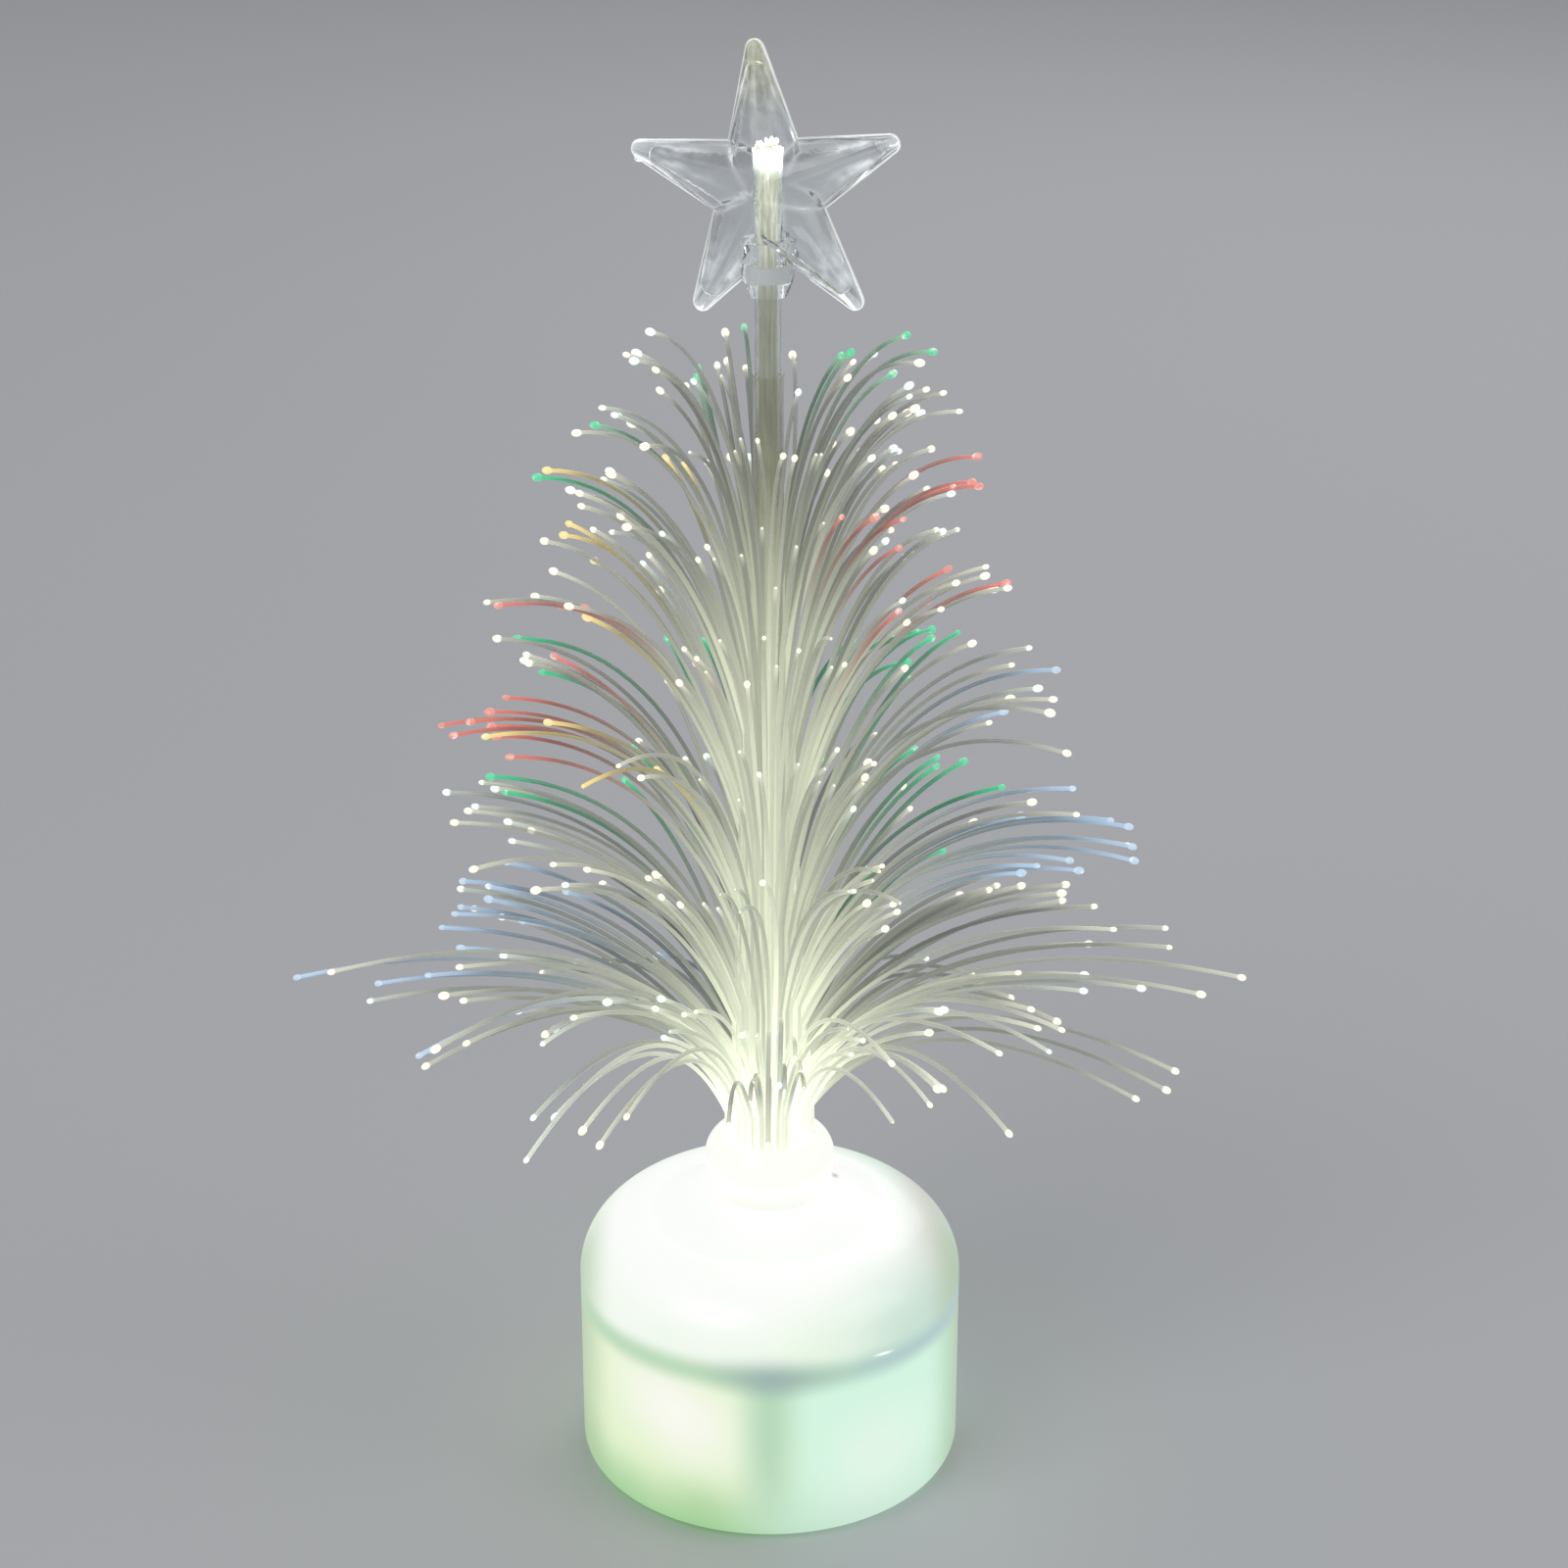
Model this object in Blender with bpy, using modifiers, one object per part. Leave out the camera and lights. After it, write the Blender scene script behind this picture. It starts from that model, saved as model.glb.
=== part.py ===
"""A small fibre-optic Christmas tree on a lit base, built as an assembly of separate named pieces.

The base holds a battery bay, a circuit board and one lamp. Tiers of plastic fibres rise from a
ferrule over the lamp, lean out like branches and end in glowing tips. A clear star turns on top.
Lengths are in metres and +Z is up. The origin is the middle of the base's underside.
"""
import math
import random

import bmesh
import bpy
from mathutils import Matrix, Vector

MM = 0.001

# Overall sizes
TREE_HEIGHT = 120.0 * MM
CROWN_REACH = 36.0 * MM
CROWN_ABOVE_SLEEVE = 2.2 * MM

# Fits
FIT = 0.1 * MM
SEAM_GAP = 0.1 * MM
OVERRUN = 1.0 * MM
MERGE = 0.001 * MM

# Base housing
HOUSING_WALL = 1.6 * MM
HOLDER_MARGIN = 0.57 * MM
HOUSING_RIM_Z = 0.25 * MM
HOUSING_RIM_ROUND = 1.4 * MM
SHOULDER_RUN = 6.3 * MM
SHOULDER_RISE = 5.8 * MM
NECK_ABOVE_SHOULDER = 2.0 * MM
BOSS_RADIUS = 2.7 * MM
BOSS_SINK = 0.2 * MM
BOSS_FOOT = 2.05 * MM

# Bottom cover
COVER_CLEARANCE = 0.2 * MM
COVER_FLOOR = 1.4 * MM
FOOT_DEPTH = 0.5 * MM
FOOT_WIDTH = 2.0 * MM
FOOT_CHAMFER = 0.3 * MM
COVER_LIP_WIDTH = 1.0 * MM
COVER_LIP_HEIGHT = 2.1 * MM

# Cover screws
SCREW_HEAD_RADIUS = 1.7 * MM
SCREW_HEAD_HEIGHT = 0.9 * MM
SCREW_SHANK_RADIUS = 0.9 * MM
SCREW_LENGTH = 8.0 * MM
SCREW_CLEARANCE = 0.15 * MM

# Battery bay
CELL_RADIUS = 5.8 * MM
CELL_LENGTH = 5.4 * MM
CELL_COUNT = 3
CELL_EDGE = 0.3 * MM
BAY_CENTRE_Y = 1.9 * MM
BAY_SLACK = 0.3 * MM
HOLDER_WALL = 1.0 * MM
CONTACT_SIZE = 8.0 * MM
CONTACT_THICKNESS = 0.3 * MM
SPRING_WIRE_RADIUS = 0.2 * MM
SPRING_WIDE = 3.0 * MM
SPRING_NARROW = 1.8 * MM
SPRING_LENGTH = 1.5 * MM
SPRING_TURNS = 2.5

# Battery door
DOOR_THICKNESS = 1.2 * MM
DOOR_CLEARANCE = 0.2 * MM
DOOR_PIN_RADIUS = 0.35 * MM
DOOR_PIN_LENGTH = 0.6 * MM
NAIL_NOTCH_RADIUS = 1.6 * MM
NAIL_NOTCH_SINK = 0.6 * MM

# Switch
SWITCH_X = -5.1 * MM
SWITCH_FROM_HOLDER = 1.0 * MM
SWITCH_LENGTH = 7.4 * MM
SWITCH_WIDTH = 3.2 * MM
SWITCH_HEIGHT = 4.0 * MM
SWITCH_TRAVEL = 2.0 * MM
KNOB_LENGTH = 2.2 * MM
KNOB_WIDTH = 1.4 * MM
KNOB_CLEARANCE = 0.2 * MM
KNOB_FOOT = 0.15 * MM
KNOB_ROOT = 0.9 * MM
KNOB_GROOVE = 0.5 * MM

# Circuit board and lamp
BOARD_MARGIN = 0.8 * MM
BOARD_THICKNESS = 1.0 * MM
LAMP_RADIUS = 2.5 * MM
LAMP_FLANGE = 0.4 * MM
LAMP_FLANGE_HEIGHT = 0.9 * MM
LAMP_HEIGHT = 4.5 * MM
LAMP_STANDOFF = 0.7 * MM
LAMP_PIN = 0.5 * MM
LAMP_PIN_PITCH = 2.54 * MM
WIRE_RADIUS = 0.4 * MM

# Stem
SLEEVE_RADIUS = 1.19 * MM
SLEEVE_WALL = 0.14 * MM
SLEEVE_BELOW_SOCKET = 6.1 * MM
TUBE_RADIUS = 1.0 * MM
TUBE_WALL = 0.2 * MM
TUBE_PAST_STAR_CENTRE = 3.0 * MM
CORE_RADIUS = 0.68 * MM
CORE_PAST_TUBE = 0.7 * MM
CORE_LOBES = 6
CORE_LOBE_SHARE = 0.1
LAMP_TO_FIBRES = 0.9 * MM
STEM_FOOT_BELOW_NECK = 2.7 * MM

# Fibre tiers, counted from the top
STRAND_RADIUS = 0.145 * MM
RING_MARGIN = 0.03 * MM
FIRST_RING = 1.36 * MM
RING_PITCH = 0.31 * MM
RING_HEIGHT = 2.6 * MM
TIER_COUNTS = (16, 20, 26, 30, 34, 38, 44, 32)
TIER_REACH_SHARES = (0.36, 0.42, 0.50, 0.61, 0.735, 0.86, 1.0, 0.78)
TIER_TIP_SHARES = (1.0, 0.925, 0.835, 0.715, 0.575, 0.40, 0.21, 0.09)
TIER_LEAVE_SHARES = (0.715, 0.625, 0.535, 0.415, 0.295, 0.175, 0.075, 0.03)
TIER_SPREAD_SHARES = (0.05, 0.05, 0.05, 0.05, 0.05, 0.05, 0.04, 0.25)
LONGEST_SHARE = 1.07
CROWN_DEPTH_SHARE = 0.65
ELBOW_SHARE = 0.3
TIER_DROOP_SHARES = (0.03, 0.035, 0.045, 0.055, 0.075, 0.10, 0.13, 0.20)
HEIGHT_SPREAD = 1.0 * MM
CLUMP_HEIGHT_SHARE = 0.3
AZIMUTH_SPREAD_SHARE = 0.05
CLUMP_SIZES = (3, 6)
WIDEST_CLUMPS = (5, 3, 3)
CLUMP_PULL_SHARES = (0.3, 0.8)
LEAN_SHARE = 0.05
CUT_SHARE = 0.3
ARC_POINTS = 3

# Ferrule and collar
FERRULE_CLEARANCE = 0.06 * MM
FERRULE_WALL = 0.34 * MM
FERRULE_STANDOFF = 0.3 * MM
FERRULE_BELOW_COLLAR_TOP = 0.9 * MM
COLLAR_RADIUS = 5.4 * MM
COLLAR_FOOT_RADIUS = 4.7 * MM
COLLAR_HEIGHT = 5.7 * MM
COLLAR_MOUTH_ROUND = 0.5 * MM

# Star
STAR_APEX = 12.85 * MM
STAR_VALLEY = 4.65 * MM
STAR_TIP_ROUND = 0.7 * MM
STAR_HALF_THICKNESS = 3.5 * MM
STAR_WALL = 0.55 * MM
STAR_ARMS = 5
STAR_ROLL = 5.4
STAR_YAW = -20.0
STAR_ROW_SHARES = (0.0, 0.3, 0.6, 0.82, 0.94, 1.0)
SOCKET_BELOW_STAR_CENTRE = 8.0 * MM
SOCKET_RADIUS = 2.1 * MM
SOCKET_FOOT_RADIUS = 1.45 * MM
SOCKET_TAPER = 1.2 * MM
SOCKET_DEPTH = 2.8 * MM
SOCKET_ROOT = 1.5 * MM
BUSHING_RADIUS = 1.6 * MM
BUSHING_HEIGHT = 1.3 * MM
BUSHING_CLEARANCE = 0.08 * MM

TURN_STEPS = 40
SMALL_STEPS = 20
RING_STEPS = (24, 32)
SEED = 7

# Sizes worked out from those above
CELL_GAP = FIT
STACK_LENGTH = CELL_COUNT * CELL_LENGTH + (CELL_COUNT - 1) * CELL_GAP
BAY_LENGTH = STACK_LENGTH + SPRING_LENGTH + 2 * CONTACT_THICKNESS + 5 * FIT
BAY_WIDTH = 2 * (CELL_RADIUS + BAY_SLACK)
HOLDER_REAR = BAY_CENTRE_Y + BAY_WIDTH / 2 + HOLDER_WALL
HOLDER_CORNER = math.hypot(BAY_LENGTH / 2 + HOLDER_WALL, HOLDER_REAR)
HOUSING_BORE = max(HOLDER_CORNER + HOLDER_MARGIN, HOLDER_REAR + FIT + 2 * BOSS_RADIUS - BOSS_SINK)
BASE_RADIUS = HOUSING_BORE + HOUSING_WALL
BOSS_CENTRE = HOUSING_BORE + BOSS_SINK - BOSS_RADIUS
COVER_RADIUS = HOUSING_BORE - COVER_CLEARANCE
COVER_TOP = FOOT_DEPTH + COVER_FLOOR
FOOT_INNER = COVER_RADIUS - FOOT_WIDTH
BAY_TOP = COVER_TOP + FIT + 2 * (CELL_RADIUS + FIT)
HOLDER_TOP = BAY_TOP + HOLDER_WALL
CELL_Z = COVER_TOP + 2 * FIT + CELL_RADIUS
SWITCH_Y = BAY_CENTRE_Y - BAY_WIDTH / 2 - HOLDER_WALL - SWITCH_FROM_HOLDER - SWITCH_WIDTH / 2
DOOR_Z = FOOT_DEPTH + DOOR_THICKNESS / 2
DOOR_AXIS_Y = BAY_CENTRE_Y + BAY_WIDTH / 2 - DOOR_CLEARANCE - DOOR_THICKNESS / 2
DOOR_LENGTH = BAY_LENGTH - 2 * DOOR_CLEARANCE
DOOR_FRONT_Y = BAY_CENTRE_Y - BAY_WIDTH / 2 + DOOR_CLEARANCE
BOARD_Z = HOLDER_TOP + FIT
BOARD_TOP = BOARD_Z + BOARD_THICKNESS
BOARD_RADIUS = HOUSING_BORE - BOARD_MARGIN
RING_INNER = STRAND_RADIUS / 2 + RING_MARGIN
RING_OUTER = STRAND_RADIUS + RING_MARGIN
LAMP_TOP = BOARD_TOP + LAMP_STANDOFF + LAMP_HEIGHT
STEM_FOOT = LAMP_TOP + LAMP_TO_FIBRES
RING_FOOT = STEM_FOOT
BASE_HEIGHT = STEM_FOOT + STEM_FOOT_BELOW_NECK
BASE_WALL_TOP = BASE_HEIGHT - NECK_ABOVE_SHOULDER - SHOULDER_RISE
LAST_RING = FIRST_RING + RING_PITCH * (len(TIER_COUNTS) - 1)
BUNDLE_RADIUS = LAST_RING + RING_OUTER
FERRULE_BORE = BUNDLE_RADIUS + FERRULE_CLEARANCE
FERRULE_RADIUS = FERRULE_BORE + FERRULE_WALL
NECK_BORE = FERRULE_RADIUS + FIT
COLLAR_FOOT = BASE_HEIGHT + FIT
COLLAR_TOP = COLLAR_FOOT + COLLAR_HEIGHT
FERRULE_FOOT = BOARD_TOP + FERRULE_STANDOFF
FERRULE_TOP = COLLAR_TOP - FERRULE_BELOW_COLLAR_TOP
STAR_SLOPE = STAR_VALLEY * math.sin(math.pi / STAR_ARMS) / (
    STAR_APEX - STAR_VALLEY * math.cos(math.pi / STAR_ARMS))
STAR_TIP_ANGLE = math.atan(STAR_SLOPE)
STAR_TIP_CENTRE = STAR_APEX - STAR_TIP_ROUND / math.sin(STAR_TIP_ANGLE)
STAR_REACH = STAR_TIP_CENTRE + STAR_TIP_ROUND
STAR_CENTRE = TREE_HEIGHT - STAR_REACH * math.cos(math.radians(STAR_ROLL))
STAR_INSCRIBED = STAR_APEX * math.sin(STAR_TIP_ANGLE)
SOCKET_FOOT = STAR_CENTRE - SOCKET_BELOW_STAR_CENTRE
BUSHING_FOOT = SOCKET_FOOT + SOCKET_TAPER
TUBE_TOP = STAR_CENTRE + TUBE_PAST_STAR_CENTRE
CORE_TOP = TUBE_TOP + CORE_PAST_TUBE
SLEEVE_TOP = SOCKET_FOOT - SLEEVE_BELOW_SOCKET
CROWN_TOP = SLEEVE_TOP + CROWN_ABOVE_SLEEVE
CROWN_SPAN = CROWN_TOP - COLLAR_TOP


def clear_scene():
    """Remove the scene's objects."""
    for item in list(bpy.data.objects):
        bpy.data.objects.remove(item, do_unlink=True)


def new_collection(name):
    """A collection linked to the scene."""
    collection = bpy.data.collections.new(name)
    bpy.context.scene.collection.children.link(collection)
    return collection


def material(name, colour, roughness, metallic=0.0, transmission=0.0, emission=0.0):
    """A Principled material in one colour."""
    made = bpy.data.materials.new(name)
    made.use_nodes = True
    shader = made.node_tree.nodes["Principled BSDF"]
    shader.inputs["Base Color"].default_value = (*colour, 1.0)
    shader.inputs["Roughness"].default_value = roughness
    shader.inputs["Metallic"].default_value = metallic
    shader.inputs["Transmission Weight"].default_value = transmission
    shader.inputs["Emission Color"].default_value = (*colour, 1.0)
    shader.inputs["Emission Strength"].default_value = emission
    made.diffuse_color = (*colour, 1.0)
    return made


def add_object(name, data, finish=None, location=(0, 0, 0)):
    """Link an object to the tree's collection, or a cutter, which has no finish, to the cutters'."""
    made = bpy.data.objects.new(name, data)
    made.location = location
    if finish is None:
        CUTTERS.objects.link(made)
        made.hide_render = True
        made.display_type = "WIRE"
    else:
        TREE.objects.link(made)
        data.materials.append(finish)
    return made


def turned(name, profile, finish=None, location=(0, 0, 0), steps=TURN_STEPS, closed=True):
    """Turn a profile of (radius, height) points about Z, its outer side run from top to bottom."""
    mesh = bpy.data.meshes.new(name)
    edges = [(index, index + 1) for index in range(len(profile) - 1)]
    if closed:
        edges.append((len(profile) - 1, 0))
    mesh.from_pydata([(radius, 0, height) for radius, height in profile], edges, [])
    made = add_object(name, mesh, finish, location)
    screw = made.modifiers.new("turn", "SCREW")
    screw.steps = steps
    screw.render_steps = steps
    screw.use_merge_vertices = True
    screw.merge_threshold = MERGE
    return made


def tube(name, outer, inner, low, high, finish=None, steps=SMALL_STEPS):
    """A straight tube about Z."""
    profile = [(outer, high), (outer, low), (inner, low), (inner, high)]
    return turned(name, profile, finish, steps=steps)


def rod(name, radius, low, high, finish=None, location=(0, 0, 0), steps=SMALL_STEPS):
    """A straight solid rod about Z."""
    mesh = bpy.data.meshes.new(name)
    shape = bmesh.new()
    bmesh.ops.create_cone(shape, cap_ends=True, segments=steps, radius1=radius, radius2=radius,
                          depth=high - low, matrix=Matrix.Translation((0, 0, (low + high) / 2)))
    shape.to_mesh(mesh)
    shape.free()
    return add_object(name, mesh, finish, location)


def block(name, size, centre, finish=None, rounding=0.0):
    """A box of a given size about a centre, with its edges bevelled where rounding is set."""
    mesh = bpy.data.meshes.new(name)
    shape = bmesh.new()
    bmesh.ops.create_cube(shape, size=1.0, matrix=Matrix.Diagonal((*size, 1.0)))
    shape.to_mesh(mesh)
    shape.free()
    made = add_object(name, mesh, finish, centre)
    if rounding:
        bevel = made.modifiers.new("edges", "BEVEL")
        bevel.width = rounding
        bevel.segments = 2
    return made


def combine(target, tool, operation):
    """Join a tool to an object or cut it away."""
    step = target.modifiers.new(operation.lower(), "BOOLEAN")
    step.operation = operation
    step.solver = "EXACT"
    step.object = tool


def evaluated_mesh(item):
    """The mesh that an object shows, with a curve's caps welded to its sides."""
    graph = bpy.context.evaluated_depsgraph_get()
    mesh = bpy.data.meshes.new_from_object(item.evaluated_get(graph))
    shape = bmesh.new()
    shape.from_mesh(mesh)
    bmesh.ops.remove_doubles(shape, verts=shape.verts, dist=MERGE)
    bmesh.ops.recalc_face_normals(shape, faces=shape.faces)
    shape.to_mesh(mesh)
    shape.free()
    return mesh


def arc_points(centre, radii, start, end, count):
    """Points of an elliptical arc about a centre, between two angles in degrees."""
    points = []
    for index in range(count + 1):
        angle = math.radians(start + (end - start) * index / count)
        points.append((centre[0] + radii[0] * math.cos(angle), centre[1] + radii[1] * math.sin(angle)))
    return points


def wire(name, route, radius, finish, resolution=2):
    """A wire along a list of points, with closed ends."""
    curve = bpy.data.curves.new(name, "CURVE")
    curve.dimensions = "3D"
    curve.bevel_depth = radius
    curve.bevel_resolution = resolution
    curve.use_fill_caps = True
    spline = curve.splines.new("POLY")
    spline.points.add(len(route) - 1)
    for point, place in zip(spline.points, route):
        point.co = (*place, 1.0)
    return add_object(name, curve, finish)


def make_housing():
    """The frosted housing: a turned shell with a neck hole and two screw bosses inside."""
    shoulder_centre = (BASE_RADIUS - SHOULDER_RUN, BASE_WALL_TOP)
    rim_centre = (BASE_RADIUS - HOUSING_RIM_ROUND, HOUSING_RIM_Z + HOUSING_RIM_ROUND)
    outer = [(NECK_BORE, BASE_HEIGHT)]
    outer += arc_points(shoulder_centre, (SHOULDER_RUN, SHOULDER_RISE), 90, 0, 8)
    outer += arc_points(rim_centre, (HOUSING_RIM_ROUND, HOUSING_RIM_ROUND), 0, -90, 4)
    inner = [(HOUSING_BORE, HOUSING_RIM_Z)]
    inner += arc_points(shoulder_centre, (SHOULDER_RUN - HOUSING_WALL, SHOULDER_RISE - HOUSING_WALL), 0, 90, 6)
    inner.append((NECK_BORE, BASE_HEIGHT - HOUSING_WALL))
    housing = turned("base_housing", outer + inner, FROSTED)
    roof = BASE_WALL_TOP + SHOULDER_RISE / 2
    for number, side in enumerate((-1, 1), 1):
        place = (0, side * BOSS_CENTRE, 0)
        boss = rod(f"housing_boss_{number}", BOSS_RADIUS, BOSS_FOOT, roof, location=place)
        pilot_top = BOSS_FOOT + SCREW_LENGTH
        pilot = rod(f"housing_pilot_{number}", SCREW_SHANK_RADIUS + SCREW_CLEARANCE,
                    BOSS_FOOT - OVERRUN, pilot_top, location=place, steps=12)
        combine(housing, boss, "UNION")
        combine(housing, pilot, "DIFFERENCE")


def make_collar():
    """The rounded collar on the neck, whose mouth closes over the ferrule's top."""
    middle = (COLLAR_FOOT + COLLAR_TOP) / 2
    half = (COLLAR_TOP - COLLAR_FOOT) / 2
    swell = COLLAR_RADIUS - COLLAR_FOOT_RADIUS
    mouth = BUNDLE_RADIUS + FIT
    lip = FERRULE_TOP + FIT
    lip_centre = (mouth + COLLAR_MOUTH_ROUND, COLLAR_TOP - COLLAR_MOUTH_ROUND)
    outer = [(COLLAR_FOOT_RADIUS, COLLAR_TOP)]
    outer += arc_points((COLLAR_FOOT_RADIUS, middle), (swell, half), 60, -60, 6)
    outer.append((COLLAR_FOOT_RADIUS, COLLAR_FOOT))
    inner = [(NECK_BORE, COLLAR_FOOT), (NECK_BORE, lip), (mouth, lip)]
    inner += arc_points(lip_centre, (COLLAR_MOUTH_ROUND, COLLAR_MOUTH_ROUND), 180, 90, 2)
    turned("neck_collar", outer + inner, FROSTED, steps=32)


def make_ferrule():
    """The tube that grips the fibres over the lamp and carries the collar and the housing's neck."""
    tube("bundle_ferrule", FERRULE_RADIUS, FERRULE_BORE, FERRULE_FOOT, FERRULE_TOP, WHITE_PLASTIC, 32)


def cover_profile():
    """The cover's section: a floor, a foot ring below its edge and a locating lip above."""
    lip_top = COVER_TOP + COVER_LIP_HEIGHT
    lip_inner = COVER_RADIUS - COVER_LIP_WIDTH
    return [(0, COVER_TOP), (lip_inner, COVER_TOP), (lip_inner, lip_top), (COVER_RADIUS, lip_top),
            (COVER_RADIUS, FOOT_CHAMFER), (COVER_RADIUS - FOOT_CHAMFER, 0), (FOOT_INNER, 0),
            (FOOT_INNER, FOOT_DEPTH), (0, FOOT_DEPTH)]


def make_cover():
    """The bottom cover, with its foot ring, battery opening, hinge sockets and switch slot."""
    cover = turned("bottom_cover", cover_profile(), WHITE_PLASTIC, closed=False)
    depth = COVER_TOP + 2 * OVERRUN
    opening = block("cover_opening", (BAY_LENGTH, BAY_WIDTH, depth), (0, BAY_CENTRE_Y, COVER_TOP / 2))
    slot_length = KNOB_LENGTH + SWITCH_TRAVEL + 2 * KNOB_CLEARANCE
    slot_x = SWITCH_X
    slot = block("cover_slot", (slot_length, KNOB_WIDTH + 2 * KNOB_CLEARANCE, depth),
                 (slot_x, SWITCH_Y, COVER_TOP / 2))
    notch = rod("cover_nail_notch", NAIL_NOTCH_RADIUS, -OVERRUN, FOOT_DEPTH + NAIL_NOTCH_SINK,
                location=(0, DOOR_FRONT_Y, 0))
    holder_width = BAY_WIDTH + 2 * (HOLDER_WALL + COVER_CLEARANCE)
    holder_length = BAY_LENGTH + 2 * (HOLDER_WALL + COVER_CLEARANCE)
    seat_height = COVER_LIP_HEIGHT + FIT + OVERRUN
    seat = block("cover_holder_seat", (holder_length, holder_width, seat_height),
                 (0, BAY_CENTRE_Y, COVER_TOP - FIT + seat_height / 2))
    combine(cover, seat, "DIFFERENCE")
    combine(cover, opening, "DIFFERENCE")
    combine(cover, slot, "DIFFERENCE")
    combine(cover, notch, "DIFFERENCE")
    socket_radius = DOOR_PIN_RADIUS + FIT
    socket_length = BAY_LENGTH + 2 * (DOOR_PIN_LENGTH + FIT)
    sockets = rod("cover_hinge_sockets", socket_radius, -socket_length / 2, socket_length / 2,
                  location=(0, DOOR_AXIS_Y, DOOR_Z), steps=12)
    sockets.rotation_euler = (0, math.pi / 2, 0)
    combine(cover, sockets, "DIFFERENCE")
    for number, side in enumerate((-1, 1), 1):
        place = (0, side * BOSS_CENTRE, 0)
        hole = turned(f"cover_screw_hole_{number}", screw_hole_profile(), location=place, steps=20,
                      closed=False)
        relief = rod(f"cover_boss_relief_{number}", BOSS_RADIUS + COVER_CLEARANCE, COVER_TOP - FIT,
                     COVER_TOP + COVER_LIP_HEIGHT + OVERRUN, location=place)
        combine(cover, hole, "DIFFERENCE")
        combine(cover, relief, "DIFFERENCE")


def screw_hole_profile():
    """A clearance hole with a pocket for the screw's head."""
    hole = SCREW_SHANK_RADIUS + SCREW_CLEARANCE
    pocket = SCREW_HEAD_RADIUS + SCREW_CLEARANCE
    pocket_top = FOOT_DEPTH / 2 + SCREW_HEAD_HEIGHT + FIT
    high = COVER_TOP + OVERRUN
    return [(0, high), (hole, high), (hole, pocket_top), (pocket, pocket_top), (pocket, -OVERRUN), (0, -OVERRUN)]


def make_screws():
    """Two screws that hold the cover to the housing's bosses."""
    low = FOOT_DEPTH / 2
    neck = low + SCREW_HEAD_HEIGHT
    tip = BOSS_FOOT + SCREW_LENGTH - 2 * FIT
    taper = tip - SCREW_SHANK_RADIUS
    profile = [(0, tip), (SCREW_SHANK_RADIUS / 3, tip), (SCREW_SHANK_RADIUS, taper),
               (SCREW_SHANK_RADIUS, neck), (SCREW_HEAD_RADIUS, neck), (SCREW_HEAD_RADIUS, low + FIT),
               (SCREW_HEAD_RADIUS - FIT, low), (0, low)]
    for number, side in enumerate((-1, 1), 1):
        turned(f"cover_screw_{number}", profile, STEEL, (0, side * BOSS_CENTRE, 0), 16, closed=False)


def make_holder():
    """The battery holder: a box over the cells, open below."""
    low = COVER_TOP + FIT
    size = (BAY_LENGTH + 2 * HOLDER_WALL, BAY_WIDTH + 2 * HOLDER_WALL, HOLDER_TOP - low)
    holder = block("battery_holder", size, (0, BAY_CENTRE_Y, (HOLDER_TOP + low) / 2), BLACK_PLASTIC,
                   HOLDER_WALL / 2)
    bay = block("holder_bay", (BAY_LENGTH, BAY_WIDTH, BAY_TOP - low + OVERRUN),
                (0, BAY_CENTRE_Y, (BAY_TOP + low - OVERRUN) / 2))
    combine(holder, bay, "DIFFERENCE")


def make_cells():
    """The button cells, stacked end to end along X, with their two contacts."""
    half = BAY_LENGTH / 2
    plate_size = (CONTACT_THICKNESS, CONTACT_SIZE, CONTACT_SIZE)
    plate_x = half - FIT - CONTACT_THICKNESS / 2
    block("contact_plate", plate_size, (plate_x, BAY_CENTRE_Y, CELL_Z), NICKEL)
    block("contact_backplate", plate_size, (-plate_x, BAY_CENTRE_Y, CELL_Z), NICKEL)
    edge = CELL_RADIUS - CELL_EDGE
    profile = [(0, CELL_LENGTH), (edge, CELL_LENGTH), (CELL_RADIUS, CELL_LENGTH - CELL_EDGE),
               (CELL_RADIUS, CELL_EDGE), (edge, 0), (0, 0)]
    right = half - 2 * FIT - CONTACT_THICKNESS
    for number in range(1, CELL_COUNT + 1):
        left = right - number * CELL_LENGTH - (number - 1) * CELL_GAP
        cell = turned(f"button_cell_{number}", profile, NICKEL, (left, BAY_CENTRE_Y, CELL_Z), 24, closed=False)
        cell.rotation_euler = (0, math.pi / 2, 0)
    make_contact_spring(-half + 2 * FIT + CONTACT_THICKNESS)


def make_contact_spring(start):
    """The tapered coil that presses the cells against the far contact."""
    length = SPRING_LENGTH - 2 * SPRING_WIRE_RADIUS
    per_turn = 10
    count = round(SPRING_TURNS * per_turn)
    route = []
    for index in range(count + 1):
        share = index / count
        angle = 2 * math.pi * index / per_turn
        radius = SPRING_WIDE + (SPRING_NARROW - SPRING_WIDE) * share
        route.append((start + SPRING_WIRE_RADIUS + length * share,
                      BAY_CENTRE_Y + radius * math.cos(angle), CELL_Z + radius * math.sin(angle)))
    wire("contact_spring", route, SPRING_WIRE_RADIUS, NICKEL, resolution=1)


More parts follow.
